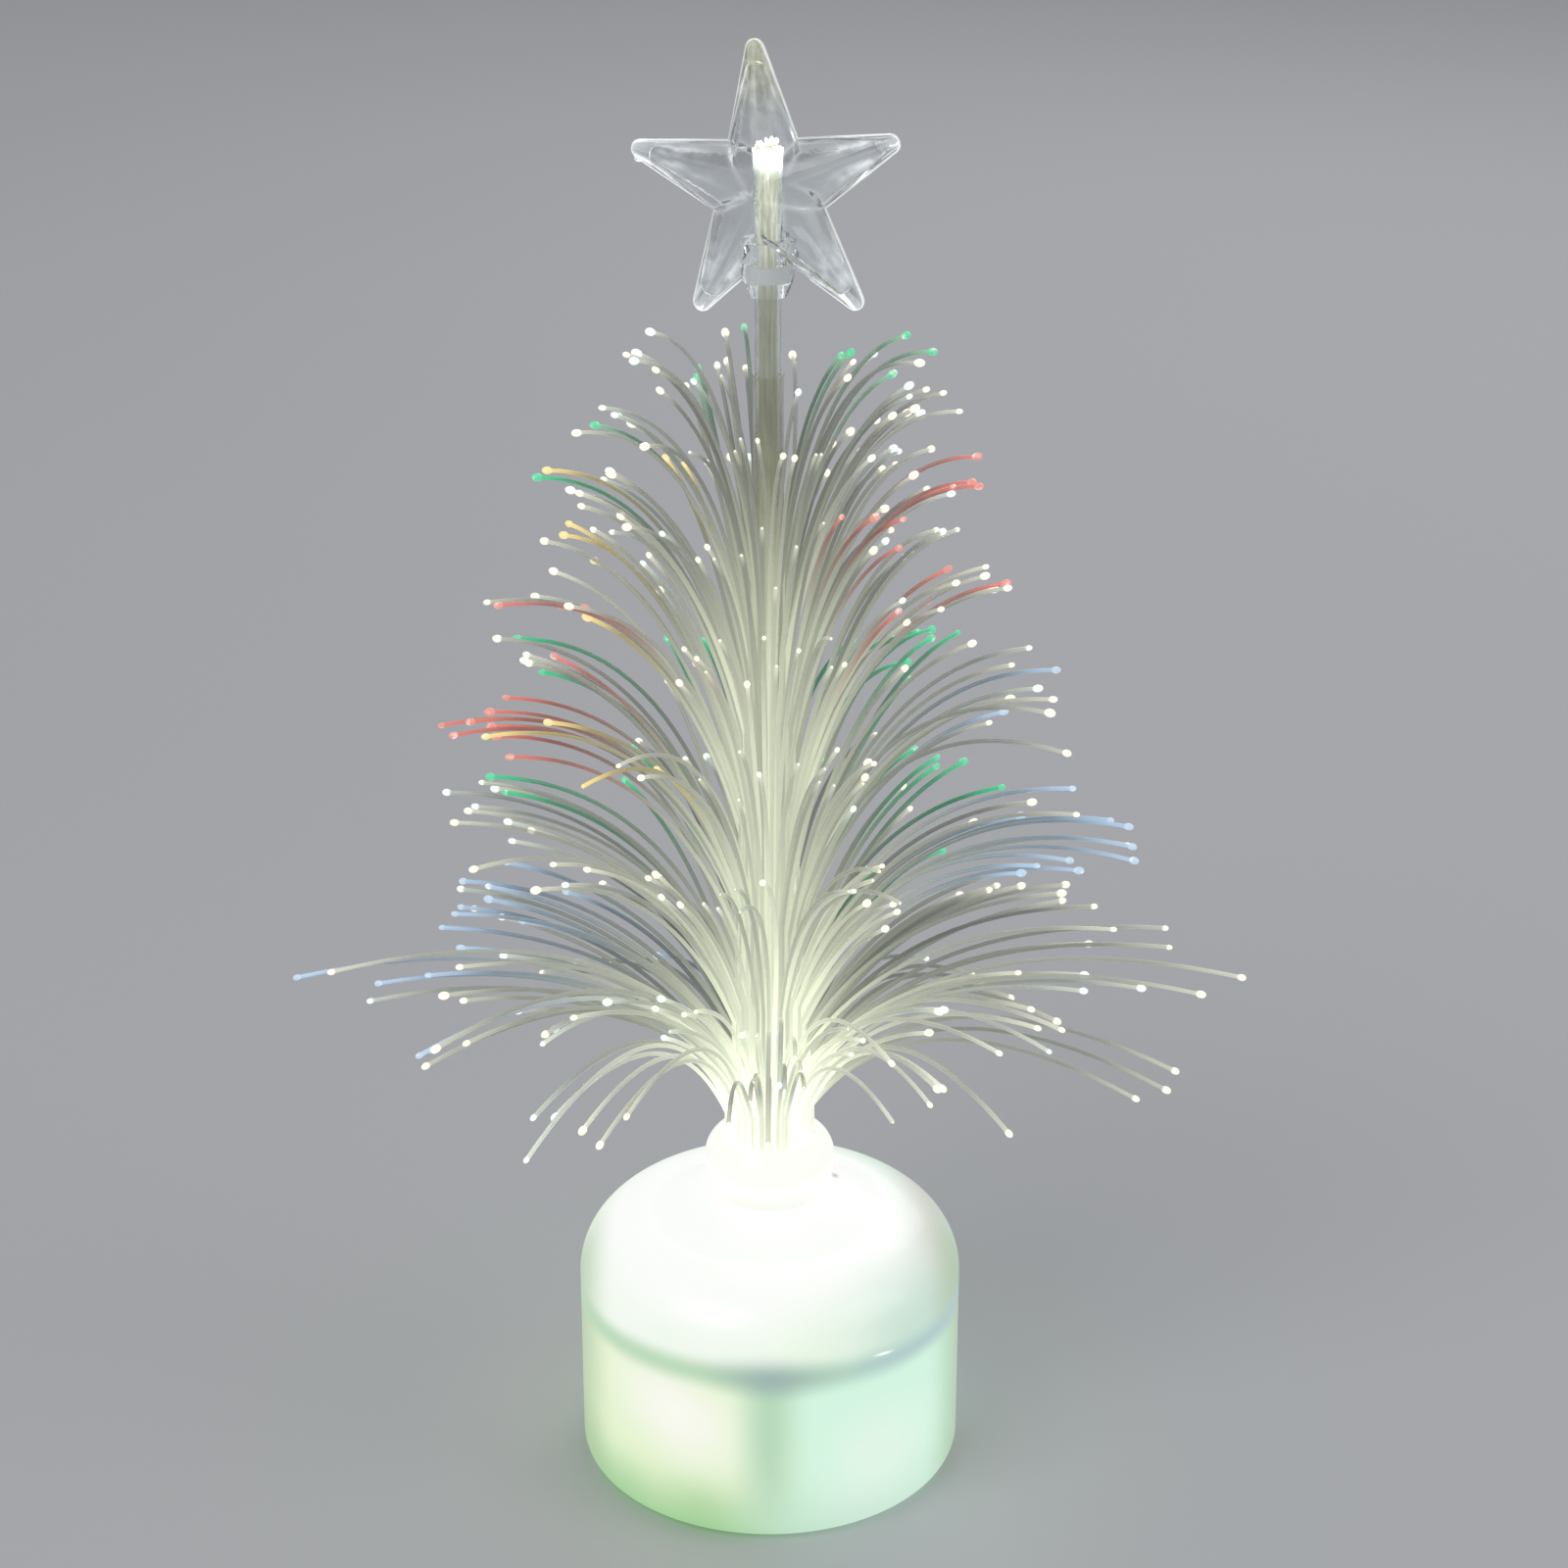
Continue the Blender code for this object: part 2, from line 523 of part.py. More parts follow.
def make_door():
    """The battery door: a plate with a round hinge edge and a pin at each end of it."""
    thickness = DOOR_THICKNESS
    plate_width = DOOR_AXIS_Y - DOOR_FRONT_Y
    door = rod("battery_door", thickness / 2, -DOOR_LENGTH / 2, DOOR_LENGTH / 2, WHITE_PLASTIC,
               location=(0, DOOR_AXIS_Y, DOOR_Z), steps=16)
    door.rotation_euler = (0, math.pi / 2, 0)
    plate = block("door_plate", (DOOR_LENGTH, plate_width, thickness),
                  (0, DOOR_AXIS_Y - plate_width / 2, DOOR_Z))
    pin_length = DOOR_LENGTH + 2 * (DOOR_CLEARANCE + DOOR_PIN_LENGTH)
    pins = rod("door_pins", DOOR_PIN_RADIUS, -pin_length / 2, pin_length / 2,
               location=(0, DOOR_AXIS_Y, DOOR_Z), steps=12)
    pins.rotation_euler = (0, math.pi / 2, 0)
    combine(door, plate, "UNION")
    combine(door, pins, "UNION")


def make_switch():
    """The slide switch over its slot in the cover, and its knob in the on position."""
    low = COVER_TOP + FIT
    body = block("switch_body", (SWITCH_LENGTH, SWITCH_WIDTH, SWITCH_HEIGHT),
                 (SWITCH_X, SWITCH_Y, low + SWITCH_HEIGHT / 2), BLACK_PLASTIC, KNOB_CLEARANCE)
    groove_length = KNOB_LENGTH + SWITCH_TRAVEL + 2 * KNOB_CLEARANCE
    groove_top = low + KNOB_ROOT + KNOB_CLEARANCE
    groove = block("switch_groove", (groove_length, KNOB_WIDTH + 2 * KNOB_CLEARANCE, groove_top - low + OVERRUN),
                   (SWITCH_X, SWITCH_Y, (groove_top + low - OVERRUN) / 2))
    combine(body, groove, "DIFFERENCE")
    knob_top = low + KNOB_ROOT
    knob_height = knob_top - KNOB_FOOT
    knob_x = SWITCH_X + SWITCH_TRAVEL / 2
    knob = block("switch_knob", (KNOB_LENGTH, KNOB_WIDTH, knob_height),
                 (knob_x, SWITCH_Y, KNOB_FOOT + knob_height / 2), BLACK_PLASTIC)
    score = block("knob_score", (KNOB_GROOVE, KNOB_WIDTH + OVERRUN, KNOB_GROOVE),
                  (knob_x, SWITCH_Y, KNOB_FOOT))
    combine(knob, score, "DIFFERENCE")


def make_board():
    """The circuit board, a disc notched round the two bosses."""
    board = rod("circuit_board", BOARD_RADIUS, BOARD_Z, BOARD_TOP, BOARD_GREEN, steps=TURN_STEPS)
    for number, side in enumerate((-1, 1), 1):
        notch = rod(f"board_notch_{number}", BOSS_RADIUS + COVER_CLEARANCE, BOARD_Z - OVERRUN,
                    BOARD_TOP + OVERRUN, location=(0, side * BOSS_CENTRE, 0))
        combine(board, notch, "DIFFERENCE")


def make_lamp():
    """The lamp under the fibres: a domed lens with a flange, on two pins."""
    low = BOARD_TOP + LAMP_STANDOFF
    flange = low + LAMP_FLANGE_HEIGHT
    dome_foot = low + LAMP_HEIGHT - LAMP_RADIUS
    profile = arc_points((0, dome_foot), (LAMP_RADIUS, LAMP_RADIUS), 90, 0, 5)
    profile[0] = (0, dome_foot + LAMP_RADIUS)
    profile += [(LAMP_RADIUS, flange), (LAMP_RADIUS + LAMP_FLANGE, flange), (LAMP_RADIUS + LAMP_FLANGE, low),
                (0, low)]
    turned("lamp_lens", profile, LAMP, steps=24, closed=False)
    height = LAMP_STANDOFF - 2 * FIT
    for number, side in enumerate((-1, 1), 1):
        block(f"lamp_pin_{number}", (LAMP_PIN, LAMP_PIN, height),
              (side * LAMP_PIN_PITCH / 2, 0, BOARD_TOP + FIT + height / 2), NICKEL)


def make_wires():
    """Four short wires: two beside the holder's ends and two on the switch, all up to the board."""
    top = BOARD_Z - FIT
    holder_x = BAY_LENGTH / 2 + HOLDER_WALL + WIRE_RADIUS + FIT
    switch_foot = COVER_TOP + FIT + SWITCH_HEIGHT + FIT
    pin_x = SWITCH_LENGTH / 4
    feet = (("lead_wire_1", -holder_x, BAY_CENTRE_Y, CELL_Z, BLACK_WIRE),
            ("lead_wire_2", holder_x, BAY_CENTRE_Y, CELL_Z, RED_WIRE),
            ("lead_wire_3", SWITCH_X - pin_x, SWITCH_Y, switch_foot, BLACK_WIRE),
            ("lead_wire_4", SWITCH_X + pin_x, SWITCH_Y, switch_foot, RED_WIRE))
    for name, x, y, foot, finish in feet:
        bow = WIRE_RADIUS if y < 0 else 0
        rise = top - foot
        route = [(x, y - bow * math.sin(math.pi * step / 5), foot + rise * step / 5) for step in range(6)]
        wire(name, route, WIRE_RADIUS, finish)


def make_stem():
    """The stem: a clear sleeve, a clear tube inside it and a core of fused fibres to the star."""
    tube("stem_sleeve", SLEEVE_RADIUS, SLEEVE_RADIUS - SLEEVE_WALL, STEM_FOOT, SLEEVE_TOP, CLEAR)
    tube("stem_tube", TUBE_RADIUS, TUBE_RADIUS - TUBE_WALL, STEM_FOOT, TUBE_TOP, CLEAR)
    outline = bpy.data.curves.new("core_fibres", "CURVE")
    outline.dimensions = "2D"
    outline.fill_mode = "BOTH"
    outline.extrude = (CORE_TOP - STEM_FOOT) / 2
    spline = outline.splines.new("POLY")
    count = 4 * CORE_LOBES
    spline.points.add(count - 1)
    spline.use_cyclic_u = True
    for index, point in enumerate(spline.points):
        angle = 2 * math.pi * index / count
        radius = CORE_RADIUS * (1 + CORE_LOBE_SHARE * math.cos(CORE_LOBES * angle))
        point.co = (radius * math.cos(angle), radius * math.sin(angle), 0, 1)
    add_object("core_fibres", outline, GLOW, (0, 0, (CORE_TOP + STEM_FOOT) / 2))


def strand_section():
    """The three-sided section that every strand follows."""
    section = bpy.data.curves.new("strand_section", "CURVE")
    section.dimensions = "2D"
    spline = section.splines.new("POLY")
    spline.points.add(2)
    spline.use_cyclic_u = True
    for index, point in enumerate(spline.points):
        angle = 2 * math.pi * index / 3
        point.co = (STRAND_RADIUS * math.cos(angle), STRAND_RADIUS * math.sin(angle), 0, 1)
    return add_object("strand_section", section)


def strand_route(ring, leave, reach, tip, droop, end, sway):
    """A strand's points: up beside the stem, then out along an arc to its cut end, swaying aside."""
    elbow = (ring + ELBOW_SHARE * (reach - ring), tip + droop)
    route = [(ring, 0, RING_FOOT + RING_HEIGHT / 2)]
    for step in range(ARC_POINTS + 1):
        u = end * step / ARC_POINTS
        radius = (1 - u) ** 2 * ring + 2 * u * (1 - u) * elbow[0] + u * u * reach
        height = (1 - u) ** 2 * leave + 2 * u * (1 - u) * elbow[1] + u * u * tip
        route.append((radius, sway * u * u, height))
    return route


def strand_mesh(section, route):
    """One strand as a mesh that leans out along X."""
    curve = bpy.data.curves.new("strand", "CURVE")
    curve.dimensions = "3D"
    curve.twist_mode = "MINIMUM"
    curve.bevel_mode = "OBJECT"
    curve.bevel_object = section
    curve.use_fill_caps = True
    spline = curve.splines.new("POLY")
    spline.points.add(len(route) - 1)
    for point, place in zip(spline.points, route):
        point.co = (*place, 1)
    holder = add_object("strand", curve)
    mesh = evaluated_mesh(holder)
    bpy.data.objects.remove(holder, do_unlink=True)
    return mesh


def clump_sizes(tier, chance):
    """Sizes of the clumps that a tier's strands gather in, round the stem."""
    count = TIER_COUNTS[tier]
    if TIER_REACH_SHARES[tier] == max(TIER_REACH_SHARES):
        return list(WIDEST_CLUMPS) * (count // sum(WIDEST_CLUMPS))
    sizes = []
    while sum(sizes) < count:
        sizes.append(min(chance.randint(*CLUMP_SIZES), count - sum(sizes)))
    return sizes


def tier_routes(tier, chance):
    """Directions and routes of a tier's strands, in clumps that lean together without crossing."""
    ring = FIRST_RING + RING_PITCH * tier
    step = 2 * math.pi / TIER_COUNTS[tier]
    leave = COLLAR_TOP + CROWN_SPAN * TIER_LEAVE_SHARES[tier]
    droop = CROWN_REACH * TIER_DROOP_SHARES[tier]
    sizes = clump_sizes(tier, chance)
    index = -(sizes[0] - 1) / 2
    routes = []
    for number, size in enumerate(sizes):
        pull = chance.uniform(*CLUMP_PULL_SHARES)
        longer = 1 + TIER_SPREAD_SHARES[tier] * chance.uniform(-1, 1)
        clump_lift = HEIGHT_SPREAD * chance.uniform(-1, 1)
        lean = LEAN_SHARE * chance.uniform(-1, 1)
        squared = sizes == list(WIDEST_CLUMPS) * 4 and number % len(WIDEST_CLUMPS) == 0
        if squared:
            longer, clump_lift, lean = LONGEST_SHARE, 0, 0
        for place in range(size):
            off = place - (size - 1) / 2
            azimuth = step * (index + AZIMUTH_SPREAD_SHARE * chance.uniform(-1, 1))
            end = 1 - CUT_SHARE * chance.random()
            lift = clump_lift + CLUMP_HEIGHT_SHARE * HEIGHT_SPREAD * chance.uniform(-1, 1)
            if squared and off == 0:
                azimuth, end = step * index, 1
            flatness = 1 - (1 - CROWN_DEPTH_SHARE) * math.sin(azimuth) ** 2
            reach = CROWN_REACH * TIER_REACH_SHARES[tier] * longer * flatness
            tip = COLLAR_TOP + CROWN_SPAN * TIER_TIP_SHARES[tier] + lift
            sway = reach * (lean - off * step * pull)
            routes.append((azimuth, strand_route(ring, leave, reach, tip, droop, end, sway)))
            index += 1
    return routes


def tier_strands(tier, section, chance):
    """All strands of one tier as one mesh."""
    shape = bmesh.new()
    for azimuth, route in tier_routes(tier, chance):
        mesh = strand_mesh(section, route)
        mesh.transform(Matrix.Rotation(azimuth, 4, "Z"))
        shape.from_mesh(mesh)
        bpy.data.meshes.remove(mesh)
    joined = bpy.data.meshes.new(f"strands_{tier + 1}")
    shape.to_mesh(joined)
    shape.free()
    return add_object(f"strands_{tier + 1}", joined)


def make_tiers():
    """Eight tiers of fibres, each one fused to its own ring of the potting in the ferrule."""
    section = strand_section()
    chance = random.Random(SEED)
    for tier in range(len(TIER_COUNTS)):
        ring = FIRST_RING + RING_PITCH * tier
        steps = RING_STEPS[0] if tier < len(TIER_COUNTS) // 2 else RING_STEPS[1]
        node = tube(f"fibre_tier_{tier + 1}", ring + RING_OUTER, ring - RING_INNER, RING_FOOT,
                    RING_FOOT + RING_HEIGHT, FIBRE, steps)
        node.rotation_euler = (0, 0, math.pi / steps)
        combine(node, tier_strands(tier, section, chance), "UNION")


def star_outline(angle):
    """The star's reach in a direction, its angle taken from the nearest arm's line."""
    sector = 2 * math.pi / STAR_ARMS
    off = abs((angle + sector / 2) % sector - sector / 2)
    tangent = math.atan2(STAR_TIP_ROUND * math.cos(STAR_TIP_ANGLE),
                         STAR_TIP_CENTRE + STAR_TIP_ROUND * math.sin(STAR_TIP_ANGLE))
    if off < tangent:
        across = STAR_TIP_CENTRE * math.sin(off)
        return STAR_TIP_CENTRE * math.cos(off) + math.sqrt(STAR_TIP_ROUND ** 2 - across ** 2)
    return STAR_APEX * math.sin(STAR_TIP_ANGLE) / math.sin(STAR_TIP_ANGLE + off)


def star_columns():
    """Directions of the star's columns: close together round each tip, wider apart along its sides."""
    tangent = math.atan2(STAR_TIP_ROUND * math.cos(STAR_TIP_ANGLE),
                         STAR_TIP_CENTRE + STAR_TIP_ROUND * math.sin(STAR_TIP_ANGLE))
    half = math.pi / STAR_ARMS
    offsets = (0, tangent / 2, tangent * 0.99, (tangent + half) / 3, (tangent + half) * 2 / 3)
    sides = [-half] + [-offset for offset in reversed(offsets[1:])] + list(offsets)
    return [2 * half * arm + side for arm in range(STAR_ARMS) for side in sides]


def star_depth(angle, share):
    """How far the skin stands off the seam: five cones that meet in creases, with a rounded edge."""
    sector = 2 * math.pi / STAR_ARMS
    off = (angle + sector / 2) % sector - sector / 2
    radius = share * star_outline(angle)
    along = radius * math.cos(off)
    across = radius * abs(math.sin(off))
    width = (STAR_APEX - along) * STAR_SLOPE
    bulge = math.sqrt(max(0.0, 1 - (across / width) ** 2))
    edge = math.sqrt(1 - share ** 8)
    return STAR_HALF_THICKNESS * (1 - along / STAR_APEX) * bulge * edge


def star_half(side):
    """One hollow half of the star: a sheet bent out over the outer skin and back along the inner."""
    columns = star_columns()
    inner_share = 1 - STAR_WALL / STAR_INSCRIBED
    rows = [(1.0, share) for share in STAR_ROW_SHARES]
    rows += [(inner_share, share) for share in reversed(STAR_ROW_SHARES)]
    shape = bmesh.new()
    bmesh.ops.create_grid(shape, x_segments=len(columns), y_segments=len(rows) - 1, size=1.0)
    roll = Matrix.Rotation(-math.radians(STAR_ROLL), 4, "Y")
    lift = Vector((0, 0, STAR_CENTRE))
    for vertex in shape.verts:
        column = round((vertex.co.x + 1) / 2 * len(columns)) % len(columns)
        row = round((vertex.co.y + 1) / 2 * (len(rows) - 1))
        scale, share = rows[row]
        angle = columns[column]
        radius = scale * share * star_outline(angle)
        depth = scale * star_depth(angle, share)
        flat = Vector((radius * math.sin(angle), side * (depth + SEAM_GAP / 2), radius * math.cos(angle)))
        vertex.co = roll @ flat + lift
    bmesh.ops.remove_doubles(shape, verts=shape.verts, dist=MERGE)
    bmesh.ops.dissolve_degenerate(shape, edges=shape.edges, dist=MERGE)
    bmesh.ops.recalc_face_normals(shape, faces=shape.faces)
    mesh = bpy.data.meshes.new("star_half")
    shape.to_mesh(mesh)
    shape.free()
    return mesh


def socket_profile():
    """The cup below the star, in two halves, that takes the bushing and the tube."""
    wide = SOCKET_FOOT + SOCKET_TAPER
    top = SOCKET_FOOT + SOCKET_DEPTH + SOCKET_ROOT
    return [(0, top), (SOCKET_RADIUS, top), (SOCKET_RADIUS, wide), (SOCKET_FOOT_RADIUS, SOCKET_FOOT),
            (0, SOCKET_FOOT)]


def socket_bore_profile():
    """The socket's bore, wider where the bushing sits."""
    narrow = TUBE_RADIUS + BUSHING_CLEARANCE + FIT
    pocket = BUSHING_RADIUS + FIT
    low = BUSHING_FOOT - FIT
    high = BUSHING_FOOT + BUSHING_HEIGHT + FIT
    top = STAR_CENTRE
    foot = SOCKET_FOOT - OVERRUN
    return [(0, top), (narrow, top), (narrow, high), (pocket, high), (pocket, low), (narrow, low),
            (narrow, foot), (0, foot)]


def make_star():
    """The star's two clear halves, each with half of the socket, and the bushing on the tube."""
    bore = turned("socket_bore", socket_bore_profile(), steps=SMALL_STEPS, closed=False)
    for name, side in (("star_front_shell", -1), ("star_rear_shell", 1)):
        shell = add_object(name, star_half(side), CLEAR)
        cup = turned(f"{name}_cup", socket_profile(), steps=24, closed=False)
        height = SOCKET_DEPTH + SOCKET_ROOT + 2 * OVERRUN
        depth = SOCKET_RADIUS + OVERRUN
        keep = block(f"{name}_side", (2 * depth, depth, height),
                     (0, side * (SEAM_GAP + depth) / 2, SOCKET_FOOT - OVERRUN + height / 2))
        combine(cup, keep, "INTERSECT")
        combine(shell, cup, "UNION")
        combine(shell, bore, "DIFFERENCE")
        shell.data = evaluated_mesh(shell)
        shell.modifiers.clear()
        shell.rotation_euler = (0, 0, math.radians(STAR_YAW))
    tube("star_bushing", BUSHING_RADIUS, TUBE_RADIUS + BUSHING_CLEARANCE, BUSHING_FOOT,
         BUSHING_FOOT + BUSHING_HEIGHT, WHITE_PLASTIC)


def make_tree():
    """All pieces of the tree, from the base up."""
    make_housing()
    make_collar()
    make_ferrule()
    make_cover()
    make_screws()
    make_holder()
    make_cells()
    make_door()
    make_switch()
    make_board()
    make_lamp()
    make_wires()
    make_stem()
    make_tiers()
    make_star()


clear_scene()
TREE = new_collection("light_up_tree")
CUTTERS = new_collection("cutters")
FROSTED = material("frosted_plastic", (0.90, 0.93, 0.88), 0.35, transmission=0.3, emission=0.4)
WHITE_PLASTIC = material("white_plastic", (0.86, 0.86, 0.84), 0.4)
BLACK_PLASTIC = material("black_plastic", (0.03, 0.03, 0.03), 0.45)
STEEL = material("screw_steel", (0.6, 0.6, 0.6), 0.35, metallic=1.0)
NICKEL = material("nickel_plate", (0.72, 0.70, 0.66), 0.25, metallic=1.0)
BOARD_GREEN = material("board_green", (0.05, 0.25, 0.12), 0.5)
LAMP = material("lamp_resin", (0.95, 0.97, 1.0), 0.1, transmission=0.6, emission=2.0)
BLACK_WIRE = material("black_wire", (0.02, 0.02, 0.02), 0.5)
RED_WIRE = material("red_wire", (0.55, 0.03, 0.03), 0.5)
CLEAR = material("clear_plastic", (0.93, 0.96, 0.95), 0.06, transmission=0.9)
GLOW = material("lit_core", (0.95, 0.98, 0.92), 0.3, emission=1.5)
FIBRE = material("fibre_plastic", (0.88, 0.90, 0.88), 0.15, transmission=0.5, emission=0.3)
make_tree()
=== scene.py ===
"""The looks of a small fibre-optic Christmas tree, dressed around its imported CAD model.

Lengths are in metres. The tree stands on Z = 0 and its front looks along -Y.
"""
import math
import random
from contextlib import contextmanager

import bmesh
import bpy
from mathutils import Matrix, Vector


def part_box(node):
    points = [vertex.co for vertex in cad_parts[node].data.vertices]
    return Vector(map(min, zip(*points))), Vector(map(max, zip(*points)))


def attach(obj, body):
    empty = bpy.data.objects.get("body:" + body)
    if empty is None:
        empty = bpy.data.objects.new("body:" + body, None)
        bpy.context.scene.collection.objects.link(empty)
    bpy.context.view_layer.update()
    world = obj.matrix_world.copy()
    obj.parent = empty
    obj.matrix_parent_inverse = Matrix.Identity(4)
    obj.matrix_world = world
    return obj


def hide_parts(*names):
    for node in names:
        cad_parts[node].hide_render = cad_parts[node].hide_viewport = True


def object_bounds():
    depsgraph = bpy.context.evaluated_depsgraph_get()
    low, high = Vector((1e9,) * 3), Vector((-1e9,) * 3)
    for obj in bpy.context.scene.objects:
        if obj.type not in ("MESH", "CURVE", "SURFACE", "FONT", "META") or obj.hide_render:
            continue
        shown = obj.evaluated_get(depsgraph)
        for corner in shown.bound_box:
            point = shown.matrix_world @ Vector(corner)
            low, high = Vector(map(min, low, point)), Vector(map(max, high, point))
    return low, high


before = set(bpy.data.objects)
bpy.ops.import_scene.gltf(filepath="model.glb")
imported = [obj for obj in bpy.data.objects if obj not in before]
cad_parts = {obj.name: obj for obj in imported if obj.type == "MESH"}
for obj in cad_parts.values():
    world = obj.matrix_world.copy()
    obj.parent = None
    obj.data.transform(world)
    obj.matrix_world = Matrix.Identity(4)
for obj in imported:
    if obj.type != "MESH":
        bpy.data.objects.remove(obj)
CAD_LOW, CAD_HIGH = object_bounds()

MM = 0.001
SEED = 11
MERGE = 0.001 * MM

# Creases sharper than these angles stay sharp
SMOOTH_ANGLE = 35
STAR_SMOOTH_ANGLE = 28
TUBE_SMOOTH_ANGLE = 40
WELD_SMOOTH_ANGLE = 60

# Camera, fitted to the photograph
CAMERA_PLACE = (1.2 * MM, -249.8 * MM, 166.9 * MM)
CAMERA_PITCH = 22.957
CAMERA_LENS = 78.25
CAMERA_NEAR = 10.0 * MM
SENSOR_WIDTH = 36.0

# Base
BASE_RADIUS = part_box("base_housing")[1].x
BASE_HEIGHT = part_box("base_housing")[1].z
HOUSING_WALL = 1.6 * MM
HOUSING_RIM_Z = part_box("base_housing")[0].z
HOUSING_RIM_ROUND = 1.4 * MM
SHOULDER_RUN = 6.3 * MM
SHOULDER_RISE = 5.8 * MM
NECK_ABOVE_SHOULDER = 2.0 * MM
WALL_TOP = BASE_HEIGHT - NECK_ABOVE_SHOULDER - SHOULDER_RISE
NECK_BORE = 4.205 * MM
DOME_SWELL = 0.25 * MM
COLLAR_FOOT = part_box("neck_collar")[0].z
COLLAR_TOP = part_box("neck_collar")[1].z
COLLAR_RADIUS = 5.4 * MM
COLLAR_FOOT_RADIUS = 4.7 * MM
COLLAR_BEAD = 2.6 * MM
COLLAR_BEAD_CENTRE = 27.65 * MM
COLLAR_BEAD_ARC = (60, -40)
COLLAR_MOUTH = 3.805 * MM
COLLAR_LIP = 0.2 * MM

# How many steps each round shape is drawn in
TURN_STEPS = 144
STEM_STEPS = 48
CUP_STEPS = 40
BORE_STEPS = 32
DOME_STEPS = 9
SHOULDER_STEPS = 26
INNER_SHOULDER_STEPS = 8
RIM_STEPS = 10
COLLAR_STEPS = 24

# Thickness of the fibres, and their melted ends
STRAND_RADIUS = 0.185 * MM
TOP_GIRTH = 0.82
STRAND_SIDES = 6
BEAD_RADIUS = 0.29 * MM
BEAD_STRETCH = 1.35
BEAD_SIZES = (0.75, 1.2)
BEAD_SEGMENTS = 8
BEAD_RINGS = 6
FIBRE_INPUTS = (("Routes", "Geometry"), ("Fibre radius", "Float"), ("Fibre sides", "Int"),
                ("Bead radius", "Float"))

# Routes of the fibres as in the CAD, tier by tier from the top
BUNDLE_FOOT = 23.3 * MM
FIRST_RING = 1.36 * MM
RING_PITCH = 0.31 * MM
CROWN_REACH = 36.0 * MM
CROWN_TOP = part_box("stem_sleeve")[1].z + 2.2 * MM
CROWN_DEPTH_SHARE = 0.65
TIER_COUNTS = (16, 20, 26, 30, 34, 38, 44, 32)
TIER_REACH_SHARES = (0.36, 0.42, 0.50, 0.61, 0.735, 0.86, 1.0, 0.78)
TIER_TIP_SHARES = (1.0, 0.925, 0.835, 0.715, 0.575, 0.40, 0.21, 0.09)
TIER_LEAVE_SHARES = (0.715, 0.625, 0.535, 0.415, 0.295, 0.175, 0.075, 0.03)
TIER_DROOP_SHARES = (0.03, 0.035, 0.045, 0.055, 0.075, 0.10, 0.13, 0.20)
TIER_SPREAD_SHARES = (0.05, 0.05, 0.05, 0.05, 0.05, 0.05, 0.04, 0.25)
LOWEST_TIER = len(TIER_COUNTS) - 1
LONGEST_SHARE = 1.07
ELBOW_SHARE = 0.3
HEIGHT_SPREAD = 1.0 * MM
CLUMP_HEIGHT_SHARE = 0.3
AZIMUTH_SPREAD_SHARE = 0.05
CLUMP_SIZES = (3, 6)
WIDEST_CLUMPS = (5, 3, 3)
CLUMP_PULL_SHARES = (0.3, 0.8)
LEAN_SHARE = 0.05
CUT_SHARE = 0.3
ROUTE_SEED = 7
ROUTE_POINTS = 20

# What the scene adds: uneven ends ahead, low tiers that sag, and companions beside the CAD's fibres.
# A sine is of a fibre's azimuth, and -1 points straight at the viewer
AHEAD_SINE = -0.5
FRONT_CUT_SHARES = (0.48, 1.0)
FRONT_LIFT = 1.6 * MM
FRONT_SAG = 3.2 * MM
SAG_SINE = 0.3
FIRST_SAGGING_TIER = 5
LOWEST_SAG = 4.2 * MM
LOWEST_SAG_SINE = 0.9
LOWEST_CUT = 0.45
CROSSING_SINE = -0.88
ARCH_PER_SAG = 1.9
COMPANIONS_BESIDE = 0.7
COMPANIONS_AHEAD = 0.05
COMPANION_TRIES = (2, 2, 2, 2, 2, 2, 3, 1)
COMPANION_TURN_SHARES = (0.2, 0.8)
COMPANION_CUT_SHARES = (0.8, 1.0)
COMPANION_RISE = 2.6 * MM

# Stem: the sleeve, the tube that crinkles inside the star, and the core. The waist and the flare have
# their place and width as shares of the crinkled length
SLEEVE_RADIUS = 1.19 * MM
SLEEVE_WALL = 0.14 * MM
SLEEVE_LIP = 0.05 * MM
SLEEVE_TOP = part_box("stem_sleeve")[1].z
TUBE_RADIUS = 1.0 * MM
TUBE_WALL = 0.2 * MM
TUBE_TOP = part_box("stem_tube")[1].z
TUBE_WAIST = 0.90 * MM
TUBE_FLARE = 1.13 * MM
WAIST_SHARES = (0.25, 0.16)
FLARE_SHARES = (0.5, 0.07)
PLAIN_ROW_SHARES = (0, 0.5, 0.9, 1.0)
CRINKLED_ROWS = 44
FOLDS = 6
FOLD_LOBES = (2, 6)
FOLD_PHASES = (0, 6.28)
FOLD_TWIST = 12
FOLD_DEPTH_SHARE = 0.022
RAGGED_EDGE = 0.25 * MM
RAGGED_SHARE = 1 / 8
CORE_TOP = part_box("core_fibres")[1].z
CORE_STRAND_RADIUS = 0.17 * MM
CORE_END_SHARE = 1.2
CORE_RINGS = ((0.0, 1), (0.45, 5), (0.85, 10))
CORE_RAGGED = 1.1 * MM
CORE_MIDDLE_DROP = 0.2 * MM
CORE_LOOSENING = 0.1 * MM
CORE_TWIST = 1.5
CORE_STEPS = 32
STEM_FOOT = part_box("stem_tube")[0].z

# Screws: the arms of the cross in the head, and how far each cross is turned
CROSS_ARM = (2.0 * MM, 0.42 * MM, 1.1 * MM)
CROSS_TURNS = (20, 65)

